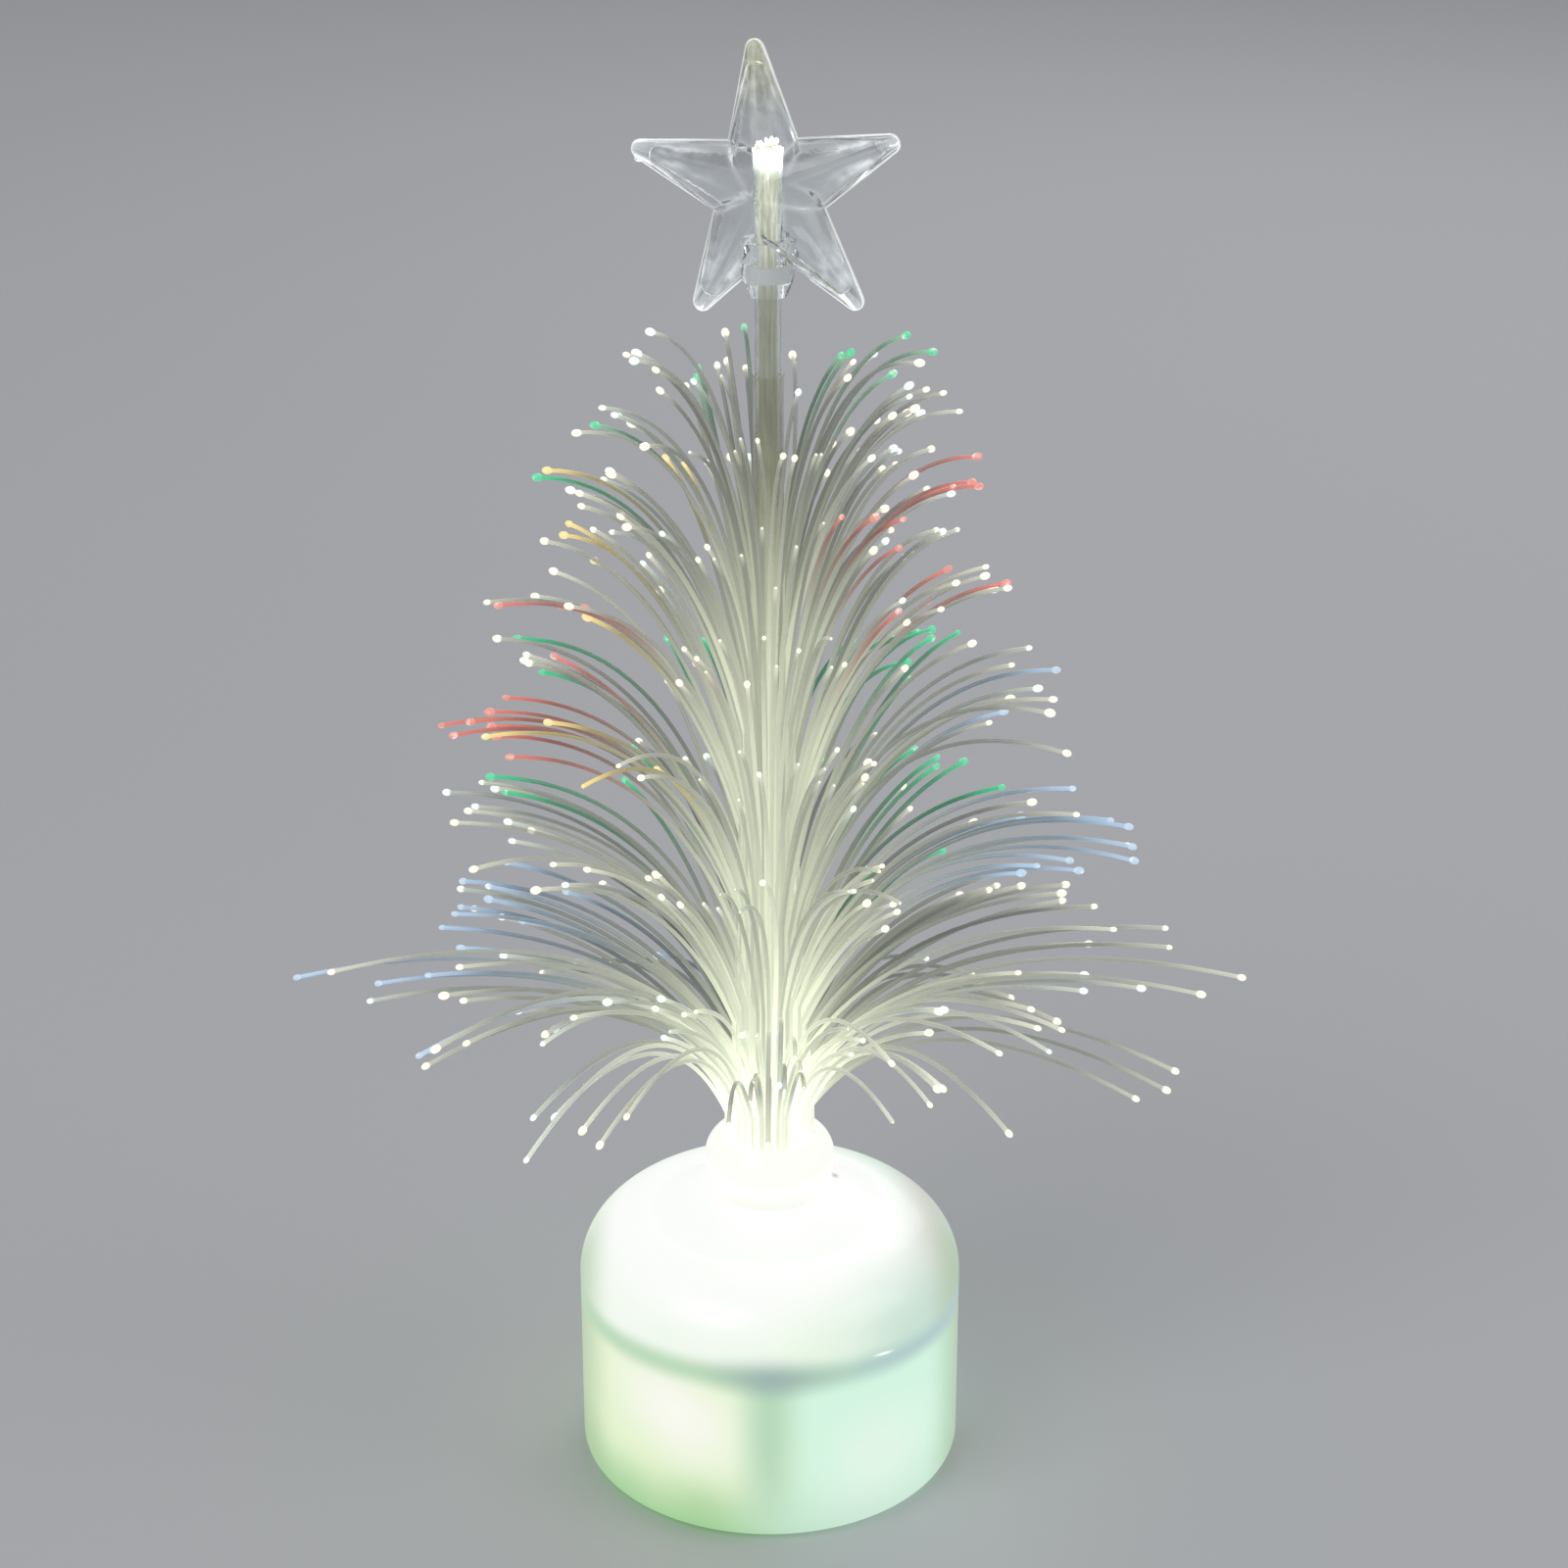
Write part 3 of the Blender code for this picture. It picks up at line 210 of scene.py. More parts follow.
# Star
STAR_APEX = 12.85 * MM
STAR_VALLEY = 4.65 * MM
STAR_TIP_ROUND = 0.7 * MM
STAR_HALF_THICKNESS = 3.5 * MM
STAR_WALL = 0.55 * MM
STAR_ARMS = 5
STAR_ROLL = 5.4
STAR_YAW = -20.0
STAR_TIP_STEPS = 5
STAR_SIDE_STEPS = 12
STAR_SIDE_EASE = 1.3
STAR_ROWS = 16
STAR_ROW_EASE = 0.8
STAR_EDGE_POWER = 8
SEAM_GAP = 0.1 * MM
SEAM_BEAD = 0.09 * MM
SEAM_BEAD_SUNK_SHARE = 0.4
SEAM_OPENING = 22
NUB_SIZE = (0.42 * MM, 0.25 * MM, 0.25 * MM)
NUB_TURN = -76
NUB_REACH_SHARE = 0.99
SOCKET_BELOW_STAR_CENTRE = 8.0 * MM
SOCKET_RADIUS = 2.1 * MM
SOCKET_FOOT_RADIUS = 1.45 * MM
SOCKET_TAPER = 1.2 * MM
SOCKET_ROUND = 0.4 * MM
SOCKET_ROUND_SHARE = 0.93
SOCKET_HEIGHT = 4.3 * MM
BUSHING_RADIUS = 1.6 * MM
BUSHING_HEIGHT = 1.3 * MM
BORE_CLEARANCE = 0.18 * MM
FIT = 0.1 * MM
OVERRUN = 1.0 * MM

# Where the star's skin leads light out: how strongly and how wide, and where a glint lies on each arm
SEAM_GLOW = (0.8, 0.30 * MM)
CREASE_GLOW = (0.8, 0.20 * MM)
RIDGE_GLOW = (0.25, 0.10 * MM)
SOCKET_GLOW_SHARE = 0.12
SOCKET_MARGIN_SHARE = 1.02
GLINT_ACROSS_SHARES = (0.5, 0.14)
GLINT_ALONG_SHARES = (0.62, 0.16)

# Colours of the fibres' light, and how strongly and broadly it shows
GREEN = (0.05, 0.62, 0.30)
RED = (0.74, 0.24, 0.20)
YELLOW = (0.90, 0.74, 0.30)
BLUE = (0.46, 0.60, 0.76)
WARM = (1.0, 0.94, 0.80)
COOL = (0.86, 0.96, 0.92)
WARM_CHANCE = 0.75
# How much of a fibre's tinted light shows towards its tip, in its glow and painted into its base colour: for
# plain light, and for the top tiers
PLAIN_LIGHT_TINT = 0.25
TOP_TIERS = 2
TOP_LIGHT_TINT = 0.5
# Fibres behind the stem get a darker tone and less glow: painted shade
REAR_DIMMING = 0.8
TONE_SPREAD = 0.6
AHEAD_TONE = 0.75
AHEAD_SWELL = 0.8
AHEAD_SMALL = 0.35
LAST_PLAIN_TIER = 4
SHINE = 0.5
SHINE_SPREAD = (0.3, 1)
SHINE_FADE = 0.6
SHADE_RISE = 6
SHADE_DELAY = 1.2
# The lowest tier's front fibres, where they cross the collar, get painted shade: a darker tone and less glow
# past the bundle
CROSSING_SHADE = {"tone_and_shade": 0.55, "shine": -0.6}

# Tinted areas: tier, from and to azimuth in degrees (0 right, 90 behind), colour, chance
TINT_AREAS = (
    (1, -10, 125, GREEN, 0.85), (2, 115, 185, GREEN, 0.6), (3, -50, 25, RED, 0.7), (3, 120, 175, YELLOW, 0.6),
    (3, 175, 200, GREEN, 0.4), (4, -30, 20, RED, 0.35), (4, 150, 190, YELLOW, 0.6), (4, 190, 225, RED, 0.6),
    (5, 25, 90, GREEN, 0.8), (5, 95, 150, GREEN, 0.7), (5, 165, 200, RED, 0.85), (5, 200, 230, YELLOW, 0.4),
    (5, -20, 15, BLUE, 0.5), (6, 25, 100, GREEN, 0.7), (6, 100, 165, GREEN, 0.35), (6, -30, 20, BLUE, 0.6),
    (7, 40, 95, GREEN, 0.5), (7, 120, 190, BLUE, 0.5), (7, 190, 225, BLUE, 0.35), (8, 100, 170, BLUE, 0.5),
)

# Glow of the bundle: steady, then fading over two heights above the collar, brighter at its foot
CREAM_GLOW = (0.95, 0.99, 0.74)
BUNDLE_RADIUS = 4.0 * MM
GLOW_STEADY = 0.325
GLOW_FADE_FROM = 36.0 * MM
GLOW_FADE_TO = 62.0 * MM
GLOW_FOOT = 0.47
GLOW_FOOT_RISE = 8.0 * MM
GLOW_REACH = 5.0 * MM
GLOW_EVERYWHERE = 0.07

# Colours of the collar, the fibres, the star, the tube and the core
COLLAR_COLOURS = ((0.76, 0.78, 0.72), (0.86, 0.86, 0.81))
FIBRE_SHADES = ((0.12, 0.15, 0.17), (0.66, 0.67, 0.63))
FIBRE_STREAK = (0.38, 0.41, 0.42)
BEAD_BODY = (0.22, 0.22, 0.20)
BEAD_HOT = (1.0, 0.98, 0.84)
STAR_CLEAR = (0.97, 0.99, 1.0)
STAR_AMBER = (0.88, 0.88, 0.72)
STAR_AMBER_REACH = 7.0 * MM
STAR_LIGHT = (0.95, 0.98, 1.0)
TUBE_LIGHT = (0.97, 1.0, 0.97)
WELD_LIGHT = ((0.6, 0.65, 0.6), (1.0, 1.0, 0.95))
CORE_SHADES = ((0.50, 0.51, 0.47), (0.80, 0.81, 0.77))
CORE_SHADES_IN_STAR = ((0.16, 0.18, 0.20), (0.42, 0.45, 0.47))
CORE_LIGHT = (1.0, 1.0, 0.96)
CORE_GLOW_TOP = 85.0 * MM

# Plain plastics and metals: how far the roughness varies, how deep the grain is, how dark worn metal is
MOULD_SPREAD = 0.12
MOULD_GRAIN_DEPTH = 0.01 * MM
PLATE_GRAIN_DEPTH = 0.004 * MM
CLEAR_WAVE_DEPTH = 0.05 * MM
WEAR_SPREAD = 0.2
WORN_SHARE = 0.8

# Colours of the lit housing: its wall and foot from left to right, patches of light, and shadows
BLACK = (0.0, 0.0, 0.0)
WHITE = (1.0, 1.0, 1.0)
WALL_COLOURS = ((0.66, 0.78, 0.50), (0.54, 0.80, 0.64))
FOOT_COLOURS = ((0.22, 0.48, 0.18), (0.48, 0.66, 0.54))
SHOULDER_COLOURS = ((0.60, 0.80, 0.54), (0.44, 0.62, 0.52))
CREAM_PATCH = (0.84, 0.83, 0.76)
MINT_PATCH = (0.70, 0.80, 0.70)
ROSY_PATCH = (0.49, 0.47, 0.41)
DOME_COLOUR = (0.84, 0.84, 0.83)
BOSS_SHADOW = (0.34, 0.54, 0.36)
EDGE_SHADOW = (0.26, 0.38, 0.20)
MARK_SHADOW = (0.25, 0.28, 0.25)
RIM_SHADOWS = ((0.36, 0.56, 0.36), (0.32, 0.46, 0.47))
FRONT_RIM_SHADOW = (0.21, 0.32, 0.31)

# Floor, room light and lamps: each lamp's name, place, size and power
FLOOR_COLOUR = (0.58, 0.59, 0.61)
FLOOR_REACH = 3.0
ROOM_COLOUR = (0.97, 0.98, 1.0)
ROOM_LIGHT = 0.42
LAMPS = (
    ("key", (-0.35, -0.40, 0.55), 0.45, 1.1),
    ("fill", (0.50, -0.15, 0.35), 0.35, 0.35),
    ("back", (0.15, 0.50, 0.40), 0.40, 0.45),
)
LAMP_AIM = (0, 0, 50.0 * MM)


def clamp(value):
    """A value held between 0 and 1."""
    return min(1.0, max(0.0, value))


def spin(degrees, axis):
    """A turn about an axis."""
    return Matrix.Rotation(math.radians(degrees), 4, axis)


def bell(value, middle, width):
    """1 at a middle value, falling off like a bell to either side."""
    return math.exp(-((value - middle) / width) ** 2)


class Field:
    """A node socket that takes part in plain arithmetic."""

    def __init__(self, graph, socket):
        self.graph = graph
        self.socket = socket

    def maths(self, operation, *values):
        """A Math node on this value and others."""
        return self.graph.node("ShaderNodeMath", dict(enumerate(values)), operation=operation)

    def smooth(self, low, high):
        """0 below a low value and 1 above a high one, with a soft step between."""
        return self.graph.node("ShaderNodeMapRange", {"Value": self, "From Min": low, "From Max": high},
                               interpolation_type="SMOOTHSTEP")

    def hump(self, middle, width):
        """1 at a middle value, falling softly to 0 at a width to either side."""
        return 1 - abs(self - middle).smooth(0.0, width)

    def __add__(self, other):
        return self.maths("ADD", self, other)

    def __sub__(self, other):
        return self.maths("SUBTRACT", self, other)

    def __mul__(self, other):
        return self.maths("MULTIPLY", self, other)

    def __rsub__(self, other):
        return self.maths("SUBTRACT", other, self)

    def __pow__(self, other):
        return self.maths("POWER", self, other)

    def __abs__(self):
        return self.maths("ABSOLUTE", self)

    __radd__ = __add__
    __rmul__ = __mul__


class Graph:
    """A node tree that is filled with one method."""

    def __init__(self, tree):
        self.tree = tree

    def node(self, kind, inputs=None, output=0, **settings):
        """Add a node: its settings first, then the values or links of its sockets."""
        made = self.tree.nodes.new(kind)
        for name, value in settings.items():
            setattr(made, name, value)
        for name, value in (inputs or {}).items():
            self.feed(made.inputs[name], value)
        return Field(self, made.outputs[output])

    def feed(self, socket, value):
        """Link a field to a socket, or set the socket's value."""
        if isinstance(value, Field):
            self.tree.links.new(value.socket, socket)
        else:
            socket.default_value = value


class Finish(Graph):
    """A material whose looks follow its object's own coordinates, in millimetres."""

    def __init__(self, name, colour, roughness, **constants):
        self.material = bpy.data.materials.new(name)
        self.material.use_nodes = True
        super().__init__(self.material.node_tree)
        self.shader = self.tree.nodes["Principled BSDF"]
        self.set("Base Color", (*colour, 1.0))
        self.set("Roughness", roughness)
        for socket, value in constants.items():
            self.set(socket.replace("_", " "), value)
        place = self.node("ShaderNodeTexCoord", output="Object")
        self.place = self.node("ShaderNodeVectorMath", {0: place, "Scale": 1 / MM}, operation="SCALE")
        self.axes = [self.node("ShaderNodeSeparateXYZ", {0: self.place}, axis) for axis in "XYZ"]

    def set(self, socket, value):
        """Set or link one of the shader's sockets."""
        self.feed(self.shader.inputs[socket], value)

    def noise(self, scale, detail=2.0, vector=None):
        """A noise value from 0 to 1, its scale in waves per millimetre."""
        inputs = {"Vector": vector or self.place, "Scale": scale, "Detail": detail}
        return self.node("ShaderNodeTexNoise", inputs, "Fac")

    def mix(self, factor, first, second):
        """A blend of two colours."""
        sockets = {0: factor, 6: self.colour(first), 7: self.colour(second)}
        return self.node("ShaderNodeMix", sockets, 2, data_type="RGBA")

    @staticmethod
    def colour(value):
        """A colour as a socket takes it."""
        return value if isinstance(value, Field) else (*value, 1.0)

    def bump(self, height, distance, strength=1.0):
        """Raise the surface's normal by a height field."""
        inputs = {"Strength": strength, "Distance": distance, "Height": height}
        self.set("Normal", self.node("ShaderNodeBump", inputs))


def attribute(finish, name, output="Fac"):
    """A named attribute of the mesh."""
    return finish.node("ShaderNodeAttribute", output=output, attribute_name=name)


def moulded(name, colour, roughness, grain=3.0, shift=0.06, **constants):
    """A plain moulded plastic with a fine grain and a slight drift of colour."""
    finish = Finish(name, colour, roughness, **constants)
    drift = finish.noise(grain / 10)
    darker = [channel * (1 - shift) for channel in colour]
    lighter = [min(1.0, channel * (1 + shift)) for channel in colour]
    finish.set("Base Color", finish.mix(drift, darker, lighter))
    finish.set("Roughness", finish.noise(grain) * MOULD_SPREAD + (roughness - MOULD_SPREAD / 2))
    finish.bump(finish.noise(grain * 2, 3.0), MOULD_GRAIN_DEPTH)
    return finish.material


def plated(name, colour, roughness):
    """A plated or bare metal with fine brushing."""
    finish = Finish(name, colour, roughness, Metallic=1.0)
    wear = finish.noise(1.5, 4.0)
    finish.set("Base Color", finish.mix(wear, [channel * WORN_SHARE for channel in colour], colour))
    finish.set("Roughness", wear * WEAR_SPREAD + (roughness - WEAR_SPREAD / 2))
    finish.bump(finish.noise(9.0), PLATE_GRAIN_DEPTH)
    return finish.material


def frosted_finish():
    """Milky plastic lit from inside: bright over the lamp, shaded by the board's rim and the bosses.

    Places are in millimetres: x to the right, y to the back and z up from the foot.
    """
    finish = Finish("frosted_lit", (0.20, 0.22, 0.20), 0.32, Emission_Strength=1.0, Coat_Weight=0.3,
                    Coat_Roughness=0.1)
    x, y, z = finish.axes
    drift = finish.noise(0.12, 1.0)
    soft = finish.noise(0.05, 0.0)
    radius = (x * x + y * y) ** 0.5
    wall = finish.mix((x + drift * 4).smooth(-3.0, 7.0), *WALL_COLOURS)
    foot = finish.mix((x + drift * 3).smooth(-6.0, 9.0), *FOOT_COLOURS)
    glow = finish.mix((z + drift * 3).smooth(0.5, 9.5), foot, wall)
    shoulder = finish.mix(x.smooth(1.0, 12.0), *SHOULDER_COLOURS)
    rosy = x.hump(13.0, 4.5) * y.smooth(-11.0, -2.0)
    shoulder = finish.mix(rosy * 0.85, shoulder, ROSY_PATCH)
    reach = radius + drift * 2 + x * 0.13 + y * 0.15
    dome = finish.mix(reach.smooth(11.5, 18.0), DOME_COLOUR, shoulder)
    # Painted shadow: a small dark wedge on the dome at the collar's right foot
    wedge_shadow = x.hump(5.5, 0.45) * y.hump(2.2, 0.8) * z.smooth(WALL_TOP / MM, BASE_HEIGHT / MM)
    # Painted shadow of the circuit board's rim: a soft band round the wall, wider and darker at the front
    front = x.hump(0.3, 7.0) * (1 - y.smooth(-12.0, -6.0))
    rim_shadow_colour = finish.mix(x.smooth(2.0, 11.0), *RIM_SHADOWS)
    rim_shadow_colour = finish.mix(front, rim_shadow_colour, FRONT_RIM_SHADOW)
    rim = (z + (soft - 0.5) * 0.8).hump(15.7, front * 0.7 + 1.9)
    layers = (
        (x.hump(-7.5, 8.5) * (z + x * 0.25).hump(9.5, 7.5), CREAM_PATCH),
        (x.hump(9.0, 7.0) * z.hump(7.0, 7.5) * 0.7, MINT_PATCH),
        (x.hump(0.0, 3.6) * (1 - y.smooth(-14.0, -12.0)) * z.smooth(-2.0, 9.0) * 0.85, BOSS_SHADOW),
        ((z + drift).smooth(15.6, 17.8), dome),
        (abs(x).smooth(12.8, 16.4) * (1 - y.smooth(-3.0, 6.0)) * 0.75, EDGE_SHADOW),
        (wedge_shadow * 0.8, MARK_SHADOW),
        (rim * 0.9, rim_shadow_colour),
        # Painted highlight: a small white streak on the right front of the shoulder
        (x.hump(9.3, 1.1) * (z + x * 0.12).hump(17.5, 0.22) * (1 - y.smooth(-10.0, 0.0)), WHITE),
    )
    for amount, colour in layers:
        glow = finish.mix(amount, glow, colour)
    finish.set("Emission Color", glow)
    finish.set("Roughness", finish.noise(2.0) * 0.1 + 0.27)
    finish.bump(finish.noise(6.0, 3.0), 0.006 * MM, 0.6)
    return finish.material


def collar_finish():
    """The collar's plastic, which glows almost white over the lamp."""
    finish = Finish("collar_lit", (0.22, 0.23, 0.21), 0.3, Emission_Strength=1.0, Coat_Weight=0.3)
    height = finish.axes[2].smooth(COLLAR_FOOT / MM, COLLAR_FOOT / MM + 2.5)
    finish.set("Emission Color", finish.mix(height, *COLLAR_COLOURS))
    finish.bump(finish.noise(5.0), 0.008 * MM, 0.5)
    return finish.material


def strand_finish():
    """Clear fibre that carries light: cream in the bundle, faint along the branch, tinted at the tip."""
    finish = Finish("fibre_lit", (0.74, 0.76, 0.75), 0.16, Emission_Strength=1.0, Coat_Weight=0.5,
                    Coat_Roughness=0.05, IOR=1.49, Transmission_Weight=0.5)
    glow = attribute(finish, "glow")
    share = attribute(finish, "share")
    tone_and_shade = attribute(finish, "tone_and_shade")
    tint = attribute(finish, "tint", "Color")
    streak = finish.noise(1.2, 3.0)
    # The tint of the fibre's light towards its tip, painted into the base colour as well as the glow
    light_tint = share.smooth(0.42, 1.0) * attribute(finish, "light_tint")
    clear = finish.mix(tone_and_shade, *FIBRE_SHADES)
    clear = finish.mix(streak * 0.4, clear, FIBRE_STREAK)
    finish.set("Base Color", finish.mix(light_tint * 0.8, clear, tint))
    lit = finish.mix(light_tint, CREAM_GLOW, tint)
    amount = glow * (tone_and_shade * 0.6 + 0.24) + share.smooth(0.84, 1.0) * (light_tint * 0.22 + 0.12)
    finish.set("Emission Color", finish.mix(amount, BLACK, lit))
    finish.set("Roughness", streak * 0.14 + 0.1)
    finish.bump(finish.noise(8.0, 2.0), 0.01 * MM, 0.5)
    return finish.material


def bead_finish():
    """The melted end of a fibre, where its light comes out."""
    finish = Finish("fibre_tip", (0.85, 0.85, 0.82), 0.12, Emission_Strength=1.0, Coat_Weight=0.6)
    tint = attribute(finish, "tint", "Color")
    hot = finish.noise(1.5, 2.0)
    finish.set("Base Color", finish.mix(0.7, tint, BEAD_BODY))
    light = finish.mix(0.12, tint, BLACK)
    finish.set("Emission Color", finish.mix(hot.smooth(0.48, 0.85), light, BEAD_HOT))
    finish.bump(hot, 0.03 * MM, 0.6)
    return finish.material


def star_finish():
    """Clear plastic of the star, whose creases and edges lead light and whose skins catch glints."""
    finish = Finish("star_clear", STAR_CLEAR, 0.02, Transmission_Weight=1.0, IOR=1.46, Emission_Strength=1.0)
    edge = attribute(finish, "edge")
    glint = attribute(finish, "glint")
    ripple = finish.noise(0.8, 4.0)
    streak = glint * ripple.smooth(0.35, 0.65)
    amber = finish.axes[2].smooth((CAD_HIGH.z - STAR_AMBER_REACH) / MM, CAD_HIGH.z / MM)
    finish.set("Base Color", finish.mix(amber, STAR_CLEAR, STAR_AMBER))
    finish.set("Emission Color", finish.mix(edge * 0.14 + streak * 0.26, BLACK, STAR_LIGHT))
    finish.set("Roughness", edge * 0.25 + 0.02)
    finish.bump(ripple, 0.10 * MM, 0.30)
    return finish.material


def clear_finish(name, colour, roughness, waves, emission=0.0):
    """Clear moulded plastic with the slow waves and fine scratches of its mould."""
    finish = Finish(name, colour, roughness, Transmission_Weight=1.0, IOR=1.46, Emission_Strength=emission)
    drift = finish.noise(waves / 2, 2.0)
    finish.set("Base Color", finish.mix(drift, [channel * 0.93 for channel in colour], colour))
    finish.set("Roughness", finish.noise(waves * 4, 3.0) * 0.06 + roughness)
    # A painted glow where emission is given, as on the star's weld line
    if emission:
        finish.set("Emission Color", finish.mix(drift, *WELD_LIGHT))
    finish.bump(finish.noise(waves, 4.0), CLEAR_WAVE_DEPTH, 0.35)
    return finish.material


def tube_finish():
    """Clear tube with the fibres' streaks, milky and lit at its crinkled end."""
    finish = Finish("tube_clear", (0.96, 0.98, 0.96), 0.06, Transmission_Weight=1.0, IOR=1.33,
                    Emission_Strength=1.0)
    x, y, z = finish.axes
    stretched = finish.node("ShaderNodeCombineXYZ", {0: x * 4, 1: y * 4, 2: z * 0.25})
    lines = finish.noise(1.0, 3.0, stretched)
    top = (z + lines * 1.5).smooth(TUBE_TOP / MM - 1.2, TUBE_TOP / MM)
    inside = z.smooth(SOCKET_FOOT / MM, SOCKET_FOOT / MM + 2.0)
    # Painted light: the tube glows at its crinkled end, along streaks inside the star and faintly all over
    haze_glow = top * 0.35 + inside * lines.smooth(0.52, 0.66) * 0.12
    haze_glow = haze_glow + lines.smooth(0.4, 0.8) * 0.05
    finish.set("Emission Color", finish.mix(haze_glow, BLACK, TUBE_LIGHT))
    finish.set("Roughness", lines * 0.15 + 0.03)
    finish.bump(lines, 0.08 * MM, 0.5)
    return finish.material


def core_finish():
    """The fused core: grey-clear up the stem and burning white at its ragged end."""
    finish = Finish("core_lit", (0.80, 0.82, 0.80), 0.2, Emission_Strength=1.0, Coat_Weight=0.4,
                    Transmission_Weight=0.2, IOR=1.49)
    height = finish.axes[2]
    streak = finish.noise(2.5, 2.0)
    low = 1 - height.smooth(COLLAR_TOP / MM, CORE_GLOW_TOP / MM)
    top = (height + streak).smooth(CORE_TOP / MM - 1.6, CORE_TOP / MM - 0.3)
    inside = height.smooth(SOCKET_FOOT / MM, SOCKET_FOOT / MM + 1.5)
    plain = finish.mix(streak, *CORE_SHADES)
    dim = finish.mix(streak, *CORE_SHADES_IN_STAR)
    finish.set("Base Color", finish.mix(inside, plain, dim))
    amount = low * 0.4 + top * 0.9 + streak * 0.22
    finish.set("Emission Color", finish.mix(amount, BLACK, CORE_LIGHT))
    return finish.material


def floor_finish():
    """A plain pale floor."""
    finish = Finish("floor", FLOOR_COLOUR, 0.7)
    darker = [channel * 0.98 for channel in FLOOR_COLOUR]
    finish.set("Base Color", finish.mix(finish.noise(0.01), darker, FLOOR_COLOUR))
    return finish.material


def add_piece(name, data, *finishes):
    """Link a mesh, curve, lamp or camera as an object, with its materials."""
    made = bpy.data.objects.new(name, data)
    bpy.context.scene.collection.objects.link(made)
    for finish in finishes:
        data.materials.append(finish)
    return made


def ride_for(piece, body, slot, *nodes):
    """Let a piece ride on a body and stand for CAD nodes. The slot is not used."""
    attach(piece, body)
    if nodes:
        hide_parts(*nodes)


def plain_mesh(piece):
    """The mesh that a piece shows, with its modifiers applied."""
    graph = bpy.context.evaluated_depsgraph_get()
    return bpy.data.meshes.new_from_object(piece.evaluated_get(graph))


def bake(piece):
    """Apply a piece's modifiers and keep its name and materials."""
    finishes = list(piece.data.materials)
    mesh = plain_mesh(piece)
    piece.modifiers.clear()
    piece.data = mesh
    if not list(mesh.materials):
        for finish in finishes:
            mesh.materials.append(finish)
    return piece


@contextmanager
def edited(mesh):
    """A mesh's shape to work on, which is written back to the mesh at the end."""
    shape = bmesh.new()
    shape.from_mesh(mesh)
    yield shape
    shape.to_mesh(mesh)
    shape.free()


def add_block(name, middle, size, turn=0):
    """A plain box about a middle, turned about Z."""
    made = add_piece(name, bpy.data.meshes.new(name))
    place = Matrix.LocRotScale(Vector(middle), spin(turn, "Z").to_3x3(), Vector(size))
    with edited(made.data) as shape:
        bmesh.ops.create_cube(shape, size=1.0, matrix=place)
    return made


def tidy_mesh(mesh, smooth_angle=None):
    """Merge doubles, point the faces outwards and shade them smooth up to an angle."""
    with edited(mesh) as shape:
        bmesh.ops.remove_doubles(shape, verts=shape.verts, dist=MERGE)
        bmesh.ops.dissolve_degenerate(shape, edges=shape.edges, dist=MERGE)
        bmesh.ops.recalc_face_normals(shape, faces=shape.faces)
    if smooth_angle is not None:
        mesh.shade_smooth()
        mesh.set_sharp_from_angle(angle=math.radians(smooth_angle))


def arc_points(centre, radii, start, end, count):
    """Points of an elliptical arc about a centre, between two angles in degrees."""
    points = []
    for index in range(count + 1):
        angle = math.radians(start + (end - start) * index / count)
        points.append((centre[0] + radii[0] * math.cos(angle), centre[1] + radii[1] * math.sin(angle)))
    return points


def turned(name, profile, *finishes, steps=TURN_STEPS, closed=True):
    """Turn a profile of (radius, height) points about Z into a plain mesh."""
    mesh = bpy.data.meshes.new(name)
    edges = [(index, index + 1) for index in range(len(profile) - 1)]
    if closed:
        edges.append((len(profile) - 1, 0))
    mesh.from_pydata([(radius, 0, height) for radius, height in profile], edges, [])
    made = add_piece(name, mesh, *finishes)
    screw = made.modifiers.new("turn", "SCREW")
    screw.steps = steps
    screw.render_steps = steps
    screw.use_merge_vertices = True
    screw.merge_threshold = MERGE
    bake(made)
    tidy_mesh(made.data, SMOOTH_ANGLE)
    return made


def combine(target, tool, operation):
    """Join a tool to a piece or cut it away, and remove the tool."""
    step = target.modifiers.new(operation.lower(), "BOOLEAN")
    step.operation = operation
    step.solver = "EXACT"
    step.object = tool
    bake(target)
    bpy.data.objects.remove(tool, do_unlink=True)


